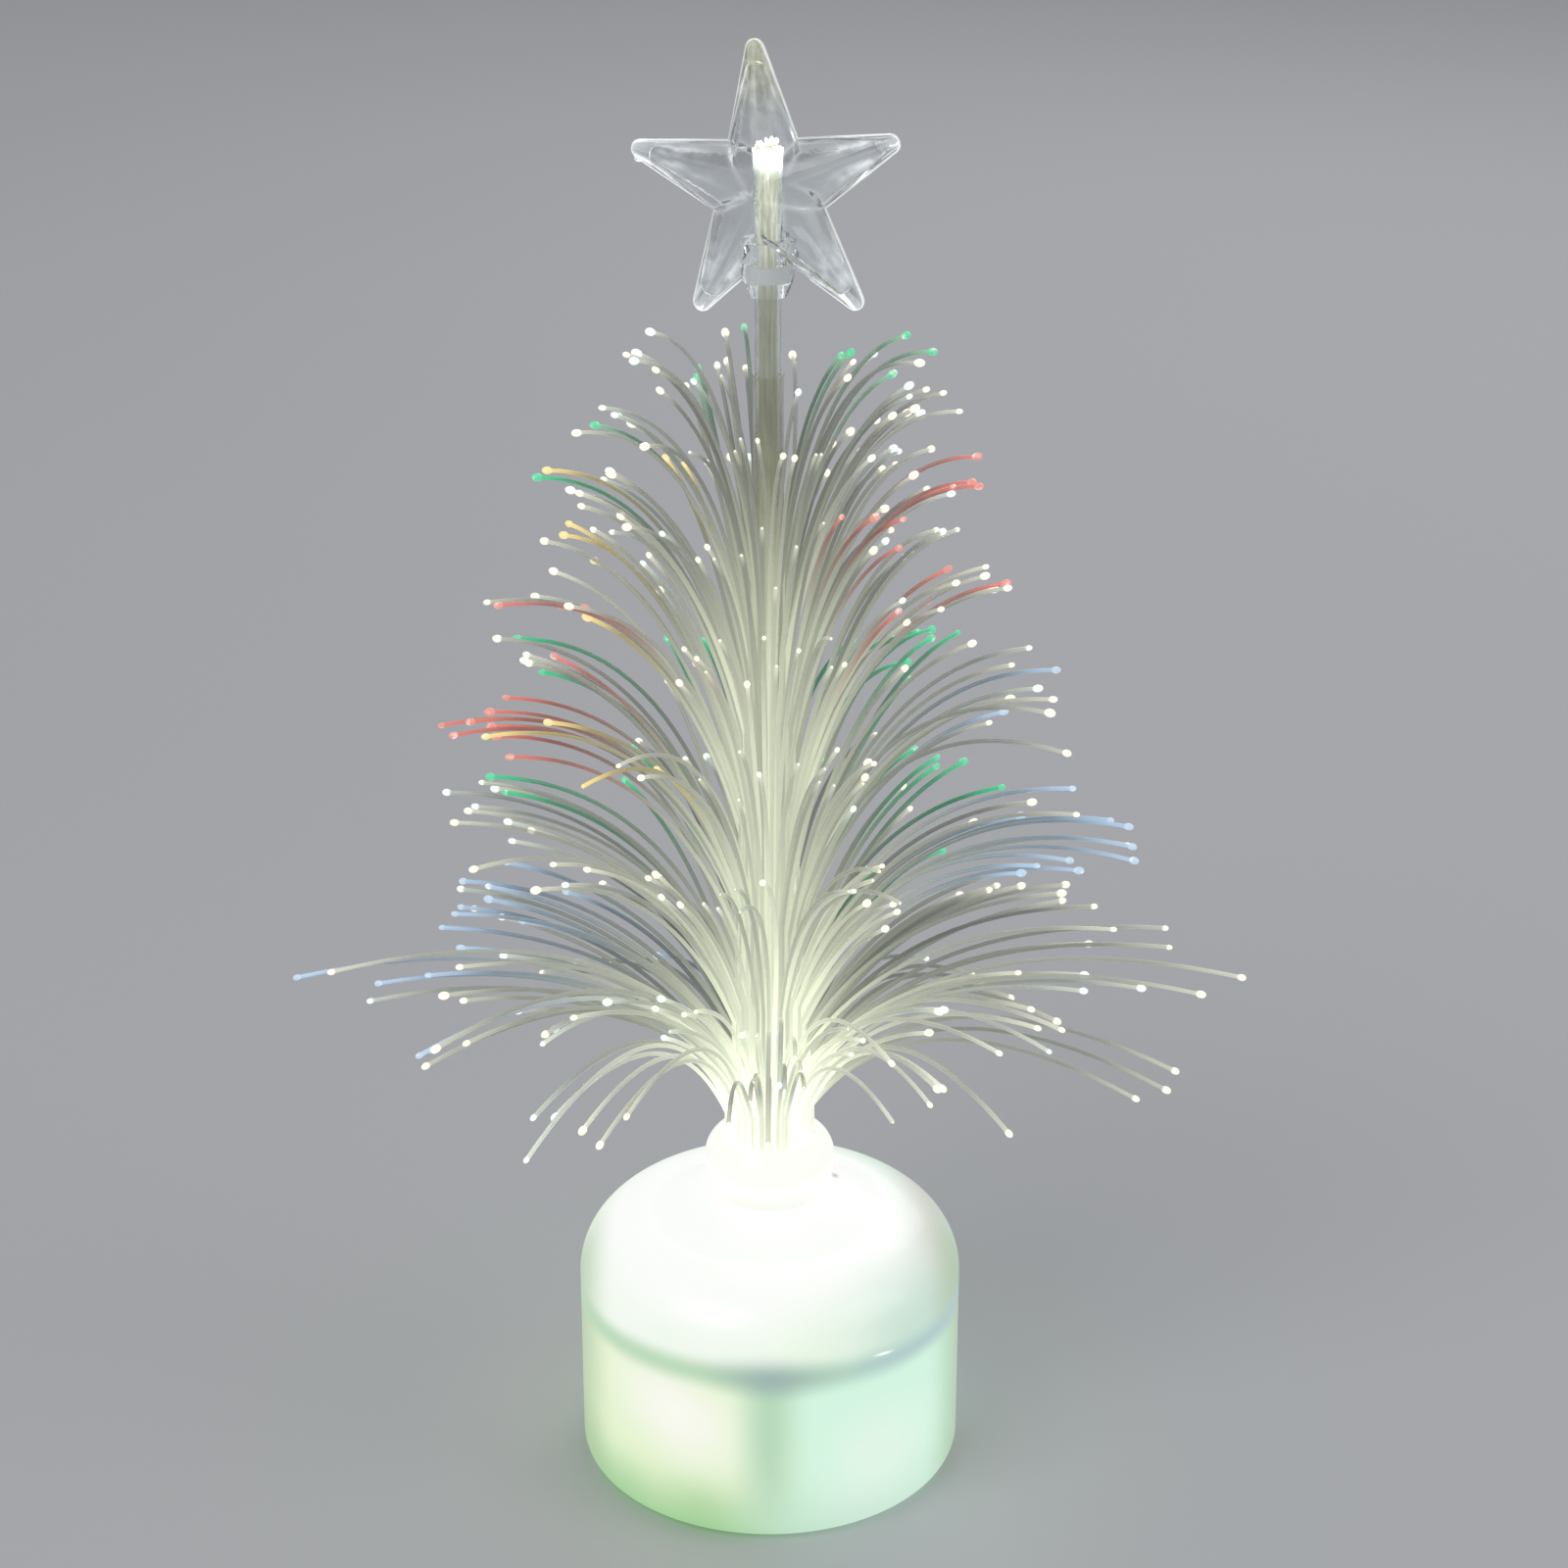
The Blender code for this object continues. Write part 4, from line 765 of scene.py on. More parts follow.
def make_base():
    """The milky housing and the rounded collar on its neck."""
    shoulder = (BASE_RADIUS - SHOULDER_RUN, WALL_TOP)
    rim = (BASE_RADIUS - HOUSING_RIM_ROUND, HOUSING_RIM_Z + HOUSING_RIM_ROUND)
    outer = []
    for step in range(DOME_STEPS):
        share = step / DOME_STEPS
        swell = DOME_SWELL * math.sin(math.pi * share)
        outer.append((NECK_BORE + (shoulder[0] - NECK_BORE) * share,
                      BASE_HEIGHT - NECK_ABOVE_SHOULDER * share + swell))
    outer += arc_points(shoulder, (SHOULDER_RUN, SHOULDER_RISE), 90, 0, SHOULDER_STEPS)
    outer += arc_points(rim, (HOUSING_RIM_ROUND, HOUSING_RIM_ROUND), 0, -90, RIM_STEPS)
    inner = [(BASE_RADIUS - HOUSING_WALL, HOUSING_RIM_Z)]
    inner_shoulder = (SHOULDER_RUN - HOUSING_WALL, SHOULDER_RISE - HOUSING_WALL)
    inner += arc_points(shoulder, inner_shoulder, 0, 90, INNER_SHOULDER_STEPS)
    inner.append((NECK_BORE, BASE_HEIGHT - HOUSING_WALL))
    housing = turned("lit_housing", outer + inner, frosted_finish())
    ride_for(housing, "base", "frosted_plastic", "base_housing")

    bead = (COLLAR_RADIUS - COLLAR_BEAD, COLLAR_BEAD_CENTRE)
    top = bead[1] + COLLAR_BEAD * math.sin(math.radians(COLLAR_BEAD_ARC[0]))
    outer = arc_points(bead, (COLLAR_BEAD, COLLAR_BEAD), *COLLAR_BEAD_ARC, COLLAR_STEPS)
    outer.append((COLLAR_FOOT_RADIUS, COLLAR_FOOT))
    inner = [(NECK_BORE, COLLAR_FOOT), (NECK_BORE, top - COLLAR_LIP), (COLLAR_MOUTH, top - COLLAR_LIP)]
    inner.append((COLLAR_MOUTH, top - COLLAR_LIP / 2))
    collar = turned("lit_collar", outer + inner, collar_finish())
    ride_for(collar, "base", "frosted_plastic", "neck_collar")


def tint_of(tier, azimuth, chance):
    """The colour of a fibre's light, by its tier and the side it points to."""
    for number, low, high, colour, likely in TINT_AREAS:
        inside = (azimuth - low) % 360 < high - low
        if number == tier and inside and chance.random() < likely:
            return colour
    return WARM if chance.random() < WARM_CHANCE else COOL


def strand_points(ring, azimuth, leave, reach, tip, droop, end, sway):
    """A fibre's points: up beside the stem, then out along an arc that droops towards its tip."""
    elbow = (ring + ELBOW_SHARE * (reach - ring), tip + droop)
    points = [(ring, BUNDLE_FOOT, 0.0), (ring, (BUNDLE_FOOT * 2 + leave) / 3, 0.0),
              (ring, (BUNDLE_FOOT + leave * 2) / 3, 0.0)]
    for step in range(ROUTE_POINTS + 1):
        u = end * step / ROUTE_POINTS
        radius = (1 - u) ** 2 * ring + 2 * u * (1 - u) * elbow[0] + u * u * reach
        height = (1 - u) ** 2 * leave + 2 * u * (1 - u) * elbow[1] + u * u * tip
        points.append((radius, height, sway * u * u))
    out = Vector((math.cos(azimuth), math.sin(azimuth), 0))
    across = Vector((-math.sin(azimuth), math.cos(azimuth), 0))
    return [out * radius + across * side + Vector((0, 0, height)) for radius, height, side in points]


def is_widest(tier):
    """Whether a tier reaches furthest, so that its clumps are set out from a listed pattern."""
    return TIER_REACH_SHARES[tier] == max(TIER_REACH_SHARES)


def clump_sizes(tier, chance):
    """Sizes of the clumps that a tier's fibres gather in, round the stem, as in the CAD."""
    count = TIER_COUNTS[tier]
    if is_widest(tier):
        return list(WIDEST_CLUMPS) * (count // sum(WIDEST_CLUMPS))
    sizes = []
    while sum(sizes) < count:
        sizes.append(min(chance.randint(*CLUMP_SIZES), count - sum(sizes)))
    return sizes


def tier_routes(tier, chance, loose):
    """One tier's routes in the CAD's clumps, with shorter companions beside some fibres.

    One source of chance repeats the CAD's draws, and the loose one serves what only the scene has.
    """
    step = 2 * math.pi / TIER_COUNTS[tier]
    sizes = clump_sizes(tier, chance)
    index = -(sizes[0] - 1) / 2
    routes = []
    for number, size in enumerate(sizes):
        pull = chance.uniform(*CLUMP_PULL_SHARES)
        longer = 1 + TIER_SPREAD_SHARES[tier] * chance.uniform(-1, 1)
        clump_lift = HEIGHT_SPREAD * chance.uniform(-1, 1)
        lean = LEAN_SHARE * chance.uniform(-1, 1)
        longest = is_widest(tier) and number % len(WIDEST_CLUMPS) == 0
        if longest:
            longer, clump_lift, lean = LONGEST_SHARE, 0, 0
        for place in range(size):
            off = place - (size - 1) / 2
            azimuth = step * (index + AZIMUTH_SPREAD_SHARE * chance.uniform(-1, 1))
            end = 1 - CUT_SHARE * chance.random()
            lift = clump_lift + CLUMP_HEIGHT_SHARE * HEIGHT_SPREAD * chance.uniform(-1, 1)
            if longest and off == 0:
                azimuth, end = step * index, 1
            elif math.sin(azimuth) < AHEAD_SINE:
                end *= loose.uniform(*FRONT_CUT_SHARES)
                lift += FRONT_LIFT * loose.uniform(-1, 1)
            routes.append(tier_route(tier, azimuth, longer, lift, lean - off * step * pull, end, loose))
            likely = COMPANIONS_AHEAD + (COMPANIONS_BESIDE - COMPANIONS_AHEAD) * math.cos(azimuth) ** 2
            for _ in range(COMPANION_TRIES[tier]):
                if loose.random() < likely:
                    turn = azimuth + step * loose.uniform(*COMPANION_TURN_SHARES)
                    aside = lean - (off + 0.5) * step * pull
                    cut = end * loose.uniform(*COMPANION_CUT_SHARES)
                    rise = COMPANION_RISE * loose.uniform(-1, 1)
                    routes.append(tier_route(tier, turn, min(1.0, longer), lift, aside, cut, loose, rise))
            index += 1
    return routes


def tier_route(tier, azimuth, longer, lift, aside, end, loose, rise=0.0):
    """One fibre's route, the tint of its light, and its look: a tone that also holds painted shade, shine,
    how much tinted light shows and size of bead.
    """
    sine = math.sin(azimuth)
    lowest = tier == LOWEST_TIER
    ring = FIRST_RING + RING_PITCH * tier
    span = CROWN_TOP - COLLAR_TOP
    leave = max(COLLAR_TOP + span * TIER_LEAVE_SHARES[tier] + rise, COLLAR_TOP)
    droop = CROWN_REACH * TIER_DROOP_SHARES[tier]
    flatness = 1 - (1 - CROWN_DEPTH_SHARE) * sine ** 2
    reach = CROWN_REACH * TIER_REACH_SHARES[tier] * longer * flatness
    ahead = clamp(SAG_SINE - sine)
    sag = FRONT_SAG * ahead * max(0, tier + 1 - FIRST_SAGGING_TIER) / (len(TIER_COUNTS) - FIRST_SAGGING_TIER)
    if lowest:
        sag = LOWEST_SAG * clamp(LOWEST_SAG_SINE - sine)
        if sine > CROSSING_SINE:
            end = 1 - (1 - end) * LOWEST_CUT
    tip = COLLAR_TOP + span * TIER_TIP_SHARES[tier] + lift + rise - sag
    points = strand_points(ring, azimuth, leave, reach, tip, droop + sag * ARCH_PER_SAG, end, reach * aside)
    # Painted shade: fibres behind the stem come out darker, on top of a tone that differs at random
    tone_and_shade = 1 - REAR_DIMMING * max(0.0, sine) * tier / len(TIER_COUNTS) - TONE_SPREAD * loose.random()
    shining = max(0, tier - LAST_PLAIN_TIER) / (LOWEST_TIER - LAST_PLAIN_TIER)
    look = {"tone_and_shade": tone_and_shade, "shine": SHINE * shining * ahead * loose.uniform(*SHINE_SPREAD)}
    # Painted shade on the lowest tier's fibres that cross the collar
    if lowest and sine < CROSSING_SINE:
        look = dict(CROSSING_SHADE)
    tint = tint_of(tier + 1, math.degrees(azimuth), loose)
    look["light_tint"] = 1.0 if tier >= TOP_TIERS else TOP_LIGHT_TINT
    if tint in (WARM, COOL):
        look["light_tint"] = PLAIN_LIGHT_TINT
    look["swell"] = 1.0
    if points[-1].y < -abs(points[-1].x):
        look["swell"] = AHEAD_SWELL if tone_and_shade > AHEAD_TONE else AHEAD_SMALL
    return points, tint, look


def route_glow(point):
    """How brightly a fibre glows at a point: most at the bundle's foot, and less upwards and outwards."""
    height = max(0.0, point.z - COLLAR_TOP)
    outside = max(0.0, math.hypot(point.x, point.y) - BUNDLE_RADIUS)
    fade = clamp((height - GLOW_FADE_FROM) / (GLOW_FADE_TO - GLOW_FADE_FROM))
    column = GLOW_STEADY * (1 - fade * fade * (3 - 2 * fade)) + GLOW_FOOT * math.exp(-height / GLOW_FOOT_RISE)
    return column * math.exp(-outside / GLOW_REACH) + GLOW_EVERYWHERE


def fibre_glow(glow, share, shine):
    """The glow with a fibre's own shine: more light along it, or less past the bundle where negative."""
    past_bundle = clamp(SHADE_RISE * share - SHADE_DELAY)
    return glow * (1 + min(0, shine) * past_bundle) + max(0, shine) * (1 - SHINE_FADE * share)


def route_mesh(name, routes):
    """Routes as chains of edges, with the fibres' tint, look, glow and share of length on their points."""
    places, edges, tints = [], [], []
    values = {"glow": [], "share": [], "tone_and_shade": [], "light_tint": [], "swell": []}
    for route, tint, look in routes:
        first = len(places)
        places += route
        edges += [(first + index, first + index + 1) for index in range(len(route) - 1)]
        shares = [index / (len(route) - 1) for index in range(len(route))]
        values["share"] += shares
        for label in ("tone_and_shade", "light_tint", "swell"):
            values[label] += [look[label]] * len(route)
        for point, share in zip(route, shares):
            values["glow"].append(fibre_glow(route_glow(point), share, look["shine"]))
        tints += [(*tint, 1.0)] * len(route)
    mesh = bpy.data.meshes.new(name)
    mesh.from_pydata(places, edges, [])
    mesh.attributes.new("tint", "FLOAT_COLOR", "POINT").data.foreach_set(
        "color", [channel for tint in tints for channel in tint])
    for label, numbers in values.items():
        mesh.attributes.new(label, "FLOAT", "POINT").data.foreach_set("value", numbers)
    return mesh


def fibre_tree(strand, bead):
    """Geometry nodes that sweep each route into a fibre and set a melted bead on its end."""
    tree = bpy.data.node_groups.new("fibres", "GeometryNodeTree")
    sockets = [tree.interface.new_socket(label, in_out="INPUT", socket_type=f"NodeSocket{kind}")
               for label, kind in FIBRE_INPUTS]
    tree.interface.new_socket("Fibres", in_out="OUTPUT", socket_type="NodeSocketGeometry")
    graph = Graph(tree)
    source = tree.nodes.new("NodeGroupInput")
    routes, radius, sides, size = [Field(graph, source.outputs[index]) for index in range(4)]
    curves = graph.node("GeometryNodeMeshToCurve", {"Mesh": routes})
    section = graph.node("GeometryNodeCurvePrimitiveCircle", {"Resolution": sides, "Radius": radius})
    swept = graph.node("GeometryNodeCurveToMesh",
                       {"Curve": curves, "Profile Curve": section, "Fill Caps": True})
    ends = graph.node("GeometryNodeCurveEndpointSelection", {"Start Size": 0, "End Size": 1})
    ball = graph.node("GeometryNodeMeshUVSphere",
                      {"Segments": BEAD_SEGMENTS, "Rings": BEAD_RINGS, "Radius": size})
    smallest, largest = BEAD_SIZES
    scale = graph.node("FunctionNodeRandomValue", {2: smallest, 3: largest, "Seed": SEED}, 1)
    scale = scale * graph.node("GeometryNodeInputNamedAttribute", {"Name": "swell"}, data_type="FLOAT")
    shape = graph.node("ShaderNodeCombineXYZ", {0: scale, 1: scale, 2: scale * BEAD_STRETCH})
    along = graph.node("GeometryNodeInputTangent")
    turn = graph.node("FunctionNodeAlignRotationToVector", {"Vector": along}, axis="Z")
    beads = graph.node("GeometryNodeInstanceOnPoints",
                       {"Points": curves, "Selection": ends, "Instance": ball, "Rotation": turn,
                        "Scale": shape})
    beads = graph.node("GeometryNodeRealizeInstances", {"Geometry": beads})
    both = tree.nodes.new("GeometryNodeJoinGeometry")
    for part, material in ((swept, strand), (beads, bead)):
        smooth = graph.node("GeometryNodeSetShadeSmooth", {"Geometry": part})
        dressed = graph.node("GeometryNodeSetMaterial", {"Geometry": smooth, "Material": material})
        tree.links.new(dressed.socket, both.inputs[0])
    result = tree.nodes.new("NodeGroupOutput")
    tree.links.new(both.outputs[0], result.inputs[0])
    return tree, [socket.identifier for socket in sockets[1:]]


def sweep(piece, tree, identifiers, radius, sides, bead):
    """Run the fibre tree on a piece's routes and keep the result as its mesh."""
    step = piece.modifiers.new("fibres", "NODES")
    step.node_group = tree
    for identifier, value in zip(identifiers, (radius, sides, bead)):
        step[identifier] = value
    bake(piece)
    return piece


def make_crown(tree, identifiers):
    """The eight tiers of fibres."""
    chance = random.Random(ROUTE_SEED)
    loose = random.Random(SEED)
    for tier in range(len(TIER_COUNTS)):
        name = f"lit_tier_{tier + 1}"
        piece = add_piece(name, route_mesh(name, tier_routes(tier, chance, loose)))
        girth = TOP_GIRTH + (1 - TOP_GIRTH) * tier / LOWEST_TIER
        sweep(piece, tree, identifiers, STRAND_RADIUS * girth, STRAND_SIDES, BEAD_RADIUS)
        ride_for(piece, "base", "fibre_plastic", f"fibre_tier_{tier + 1}")


def make_stem(tree, identifiers):
    """The clear sleeve, the clear tube that crinkles inside the star, and the core's own strands."""
    inside = SLEEVE_RADIUS - SLEEVE_WALL
    sleeve_profile = [(SLEEVE_RADIUS, SLEEVE_TOP - 3 * SLEEVE_LIP), (SLEEVE_RADIUS, STEM_FOOT),
                      (inside, STEM_FOOT), (inside, SLEEVE_TOP), (SLEEVE_RADIUS, SLEEVE_TOP),
                      (SLEEVE_RADIUS + SLEEVE_LIP, SLEEVE_TOP - SLEEVE_LIP)]
    clear = clear_finish("sleeve_clear", (0.97, 0.96, 0.89), 0.08, 1.2)
    sleeve = turned("clear_sleeve", sleeve_profile, clear, steps=STEM_STEPS)
    ride_for(sleeve, "base", "clear_plastic", "stem_sleeve")
    tube = add_piece("clear_tube", crinkled_tube(), tube_finish())
    ride_for(tube, "base", "clear_plastic", "stem_tube")
    core = add_piece("core_strands", route_mesh("core_strands", core_routes()))
    sweep(core, tree, identifiers, CORE_STRAND_RADIUS, STRAND_SIDES, CORE_STRAND_RADIUS * CORE_END_SHARE)
    core.data.materials[0] = core_finish()
    core.data.materials[1] = core.data.materials[0]
    ride_for(core, "base", "lit_core", "core_fibres")


def tube_shape(height):
    """The tube's radius at a height, and how crinkled it is: straight, then waisted, then flared."""
    start = SOCKET_FOOT + SOCKET_TAPER + BUSHING_HEIGHT
    above = (height - start) / (TUBE_TOP - start)
    if above <= 0:
        return TUBE_RADIUS, 0.0
    waist = bell(above, *WAIST_SHARES)
    flare = 1 / (1 + math.exp(-(above - FLARE_SHARES[0]) / FLARE_SHARES[1]))
    radius = TUBE_RADIUS + (TUBE_FLARE - TUBE_RADIUS) * flare - (TUBE_RADIUS - TUBE_WAIST) * waist
    return radius, clamp(above * 3)


def crinkled_tube():
    """The clear tube, straight up to the star and waisted, wrinkled and ragged inside it."""
    rows = [STEM_FOOT + (SOCKET_FOOT - STEM_FOOT) * share for share in PLAIN_ROW_SHARES]
    rows += [SOCKET_FOOT + (TUBE_TOP - SOCKET_FOOT) * (index + 1) / CRINKLED_ROWS
             for index in range(CRINKLED_ROWS)]
    chance = random.Random(SEED)
    folds = [(chance.randint(*FOLD_LOBES), chance.uniform(*FOLD_PHASES), chance.uniform(-1, 1))
             for _ in range(FOLDS)]
    notches = [chance.uniform(-1, 1) for _ in range(STEM_STEPS)]
    places = []
    for skin in (0.0, TUBE_WALL):
        for height in (rows if skin == 0.0 else rows[::-1]):
            radius, crinkle = tube_shape(height)
            above = (height - SOCKET_FOOT) / (TUBE_TOP - SOCKET_FOOT)
            for index in range(STEM_STEPS):
                angle = 2 * math.pi * index / STEM_STEPS
                fold = sum(math.sin(lobes * angle + phase + twist * above * FOLD_TWIST)
                           for lobes, phase, twist in folds)
                reach = min(radius * (1 + FOLD_DEPTH_SHARE * fold * crinkle), TUBE_FLARE) - skin
                ragged = RAGGED_EDGE * notches[index] * clamp((above - 1) / RAGGED_SHARE + 1)
                places.append((reach * math.cos(angle), reach * math.sin(angle), height + ragged))
    faces = []
    for low in range(0, len(places), STEM_STEPS):
        high = (low + STEM_STEPS) % len(places)
        for index in range(STEM_STEPS):
            after = (index + 1) % STEM_STEPS
            faces.append((low + index, low + after, high + after, high + index))
    mesh = bpy.data.meshes.new("clear_tube")
    mesh.from_pydata(places, [], faces)
    tidy_mesh(mesh, TUBE_SMOOTH_ANGLE)
    return mesh


def core_routes():
    """Strands of the core: one in the middle and two rings, slowly twisted, flared and uneven at the end."""
    chance = random.Random(SEED + 1)
    routes = []
    for share, count in CORE_RINGS:
        for index in range(count):
            start = 2 * math.pi * index / count + share
            top = CORE_TOP - (CORE_RAGGED * chance.random() if share else CORE_MIDDLE_DROP)
            route = []
            for step in range(CORE_STEPS + 1):
                height = STEM_FOOT + (top - STEM_FOOT) * step / CORE_STEPS
                radius, crinkle = tube_shape(height)
                spread = share * (radius - TUBE_WALL - CORE_STRAND_RADIUS + CORE_LOOSENING * crinkle)
                angle = start + CORE_TWIST * step / CORE_STEPS
                route.append(Vector((spread * math.cos(angle), spread * math.sin(angle), height)))
            routes.append((route, WARM, {"tone_and_shade": 1.0, "shine": 0.0, "light_tint": PLAIN_LIGHT_TINT, "swell": 1.0}))
    return routes


def star_measures():
    """The star's slope, tip angle, tip circle centre and the angle at which the tip's round ends."""
    half = STAR_SECTOR / 2
    slope = STAR_VALLEY * math.sin(half) / (STAR_APEX - STAR_VALLEY * math.cos(half))
    angle = math.atan(slope)
    centre = STAR_APEX - STAR_TIP_ROUND / math.sin(angle)
    tangent = math.atan2(STAR_TIP_ROUND * math.cos(angle), centre + STAR_TIP_ROUND * math.sin(angle))
    return slope, angle, centre, tangent


def from_arm(angle):
    """A direction as measured from the nearest arm."""
    return (angle + STAR_SECTOR / 2) % STAR_SECTOR - STAR_SECTOR / 2


def star_outline(angle):
    """The star's reach in a direction, measured from the top arm."""
    off = abs(from_arm(angle))
    if off < STAR_TANGENT:
        across = STAR_TIP_CENTRE * math.sin(off)
        return STAR_TIP_CENTRE * math.cos(off) + math.sqrt(STAR_TIP_ROUND ** 2 - across ** 2)
    return STAR_APEX * math.sin(STAR_TIP_ANGLE) / math.sin(STAR_TIP_ANGLE + off)


def star_depth(angle, share):
    """How far the star's skin stands off its seam."""
    off = from_arm(angle)
    radius = share * star_outline(angle)
    along = radius * math.cos(off)
    width = (STAR_APEX - along) * STAR_SLOPE
    bulge = math.sqrt(max(0.0, 1 - (radius * math.sin(off) / width) ** 2))
    return STAR_HALF_THICKNESS * (1 - along / STAR_APEX) * bulge * math.sqrt(1 - share ** STAR_EDGE_POWER)


def star_columns():
    """Directions of the star's columns, close together round each tip and along each crease."""
    half = STAR_SECTOR / 2
    offsets = [STAR_TANGENT * index / STAR_TIP_STEPS for index in range(STAR_TIP_STEPS + 1)]
    offsets += [half - (half - STAR_TANGENT) * (1 - index / STAR_SIDE_STEPS) ** STAR_SIDE_EASE
                for index in range(1, STAR_SIDE_STEPS)]
    sides = [-half] + [-offset for offset in reversed(offsets[1:])] + offsets
    return [STAR_SECTOR * arm + side for arm in range(STAR_ARMS) for side in sides]


def star_place(radius, angle, depth):
    """A point of the star in the tree's own frame: rolled about its middle and turned about the stem."""
    flat = Vector((radius * math.sin(angle), depth, radius * math.cos(angle)))
    return spin(STAR_YAW, "Z") @ (spin(-STAR_ROLL, "Y") @ flat + Vector((0, 0, STAR_CENTRE)))


def star_polar(place):
    """The star's own radius and direction of a point, the reverse of star_place."""
    flat = spin(STAR_ROLL, "Y") @ (spin(-STAR_YAW, "Z") @ place - Vector((0, 0, STAR_CENTRE)))
    return math.hypot(flat.x, flat.z), math.atan2(flat.x, flat.z)


def star_half(side):
    """One hollow half of the star, from a sheet bent over the outer skin and back along the inner."""
    columns = star_columns()
    inner = 1 - STAR_WALL / (STAR_APEX * math.sin(STAR_TIP_ANGLE))
    shares = [math.sin(math.pi / 2 * index / STAR_ROWS) ** STAR_ROW_EASE for index in range(STAR_ROWS + 1)]
    rows = [(1.0, share) for share in shares] + [(inner, share) for share in reversed(shares)]
    mesh = bpy.data.meshes.new("star_half")
    with edited(mesh) as shape:
        bmesh.ops.create_grid(shape, x_segments=len(columns), y_segments=len(rows) - 1, size=1.0)
        for vertex in shape.verts:
            angle = columns[round((vertex.co.x + 1) / 2 * len(columns)) % len(columns)]
            scale, share = rows[round((vertex.co.y + 1) / 2 * (len(rows) - 1))]
            reach = scale * share * star_outline(angle)
            depth = side * (scale * star_depth(angle, share) + SEAM_GAP / 2)
            vertex.co = (reach * math.sin(angle), depth, reach * math.cos(angle))
    tidy_mesh(mesh)
    mesh.transform(Matrix.Translation((0, 0, STAR_CENTRE)) @ spin(-STAR_ROLL, "Y"))
    return mesh


def edge_glow(distance, most, width):
    """How much light comes out at a distance from an edge or a crease."""
    return most * bell(distance, 0, width)


def light_edges(mesh):
    """Mark how much light a star skin leads out at its edges and creases, and where it catches a glint."""
    edges, glints = [], []
    for vertex in mesh.vertices:
        radius, angle = star_polar(vertex.co)
        off = from_arm(angle)
        inset = max(0.0, star_outline(angle) - radius)
        share = clamp(radius / star_outline(angle))
        seam = edge_glow(inset, *SEAM_GLOW)
        crease = edge_glow((STAR_SECTOR / 2 - abs(off)) * radius, *CREASE_GLOW) * clamp(share * 1.5)
        ridge = edge_glow(off * radius, *RIDGE_GLOW) * clamp(share * 2)
        along = radius * math.cos(off) / STAR_APEX
        across = radius * math.sin(off) / max(MERGE, (STAR_APEX - radius * math.cos(off)) * STAR_SLOPE)
        glint = bell(abs(across), *GLINT_ACROSS_SHARES) * bell(along, *GLINT_ALONG_SHARES)
        from_axis = math.hypot(vertex.co.x, vertex.co.y)
        if from_axis < SOCKET_RADIUS * SOCKET_MARGIN_SHARE and vertex.co.z < STAR_CENTRE:
            edges.append(SOCKET_GLOW_SHARE)
            glints.append(0.0)
        else:
            edges.append(max(seam, crease, ridge))
            glints.append(glint)
    mesh.attributes.new("edge", "FLOAT", "POINT").data.foreach_set("value", edges)
    mesh.attributes.new("glint", "FLOAT", "POINT").data.foreach_set("value", glints)


def make_star():
    """The clear star: two halves with their socket, and the weld line with its gate nub."""
    clear = star_finish()
    wide = SOCKET_FOOT + SOCKET_TAPER
    top = SOCKET_FOOT + SOCKET_HEIGHT
    cup_profile = [(0, top), (SOCKET_RADIUS, top), (SOCKET_RADIUS, wide + SOCKET_ROUND),
                   (SOCKET_RADIUS * SOCKET_ROUND_SHARE, wide), (SOCKET_FOOT_RADIUS, SOCKET_FOOT),
                   (0, SOCKET_FOOT)]
    narrow = TUBE_RADIUS + BORE_CLEARANCE
    pocket = BUSHING_RADIUS + FIT
    high = wide + BUSHING_HEIGHT + FIT
    low = wide - FIT
    end = SOCKET_FOOT - OVERRUN
    bore_profile = [(0, STAR_CENTRE), (narrow, STAR_CENTRE), (narrow, high), (pocket, high), (pocket, low),
                    (narrow, low), (narrow, end), (0, end)]
    for name, node, side in (("star_front", "star_front_shell", -1), ("star_rear", "star_rear_shell", 1)):
        shell = add_piece(name, star_half(side), clear)
        cup = turned(f"{name}_cup", cup_profile, clear, steps=CUP_STEPS, closed=False)
        middle = (0, side * (SOCKET_HEIGHT * 2 + SEAM_GAP / 2), SOCKET_FOOT)
        keep = add_block(f"{name}_side", middle, [SOCKET_HEIGHT * 4] * 3)
        combine(cup, keep, "INTERSECT")
        combine(shell, cup, "UNION")
        bore = turned(f"{name}_bore", bore_profile, steps=BORE_STEPS, closed=False)
        combine(shell, bore, "DIFFERENCE")
        shell.data.transform(spin(STAR_YAW, "Z"))
        tidy_mesh(shell.data, STAR_SMOOTH_ANGLE)
        light_edges(shell.data)
        ride_for(shell, "star", "clear_plastic", node)
    make_weld()


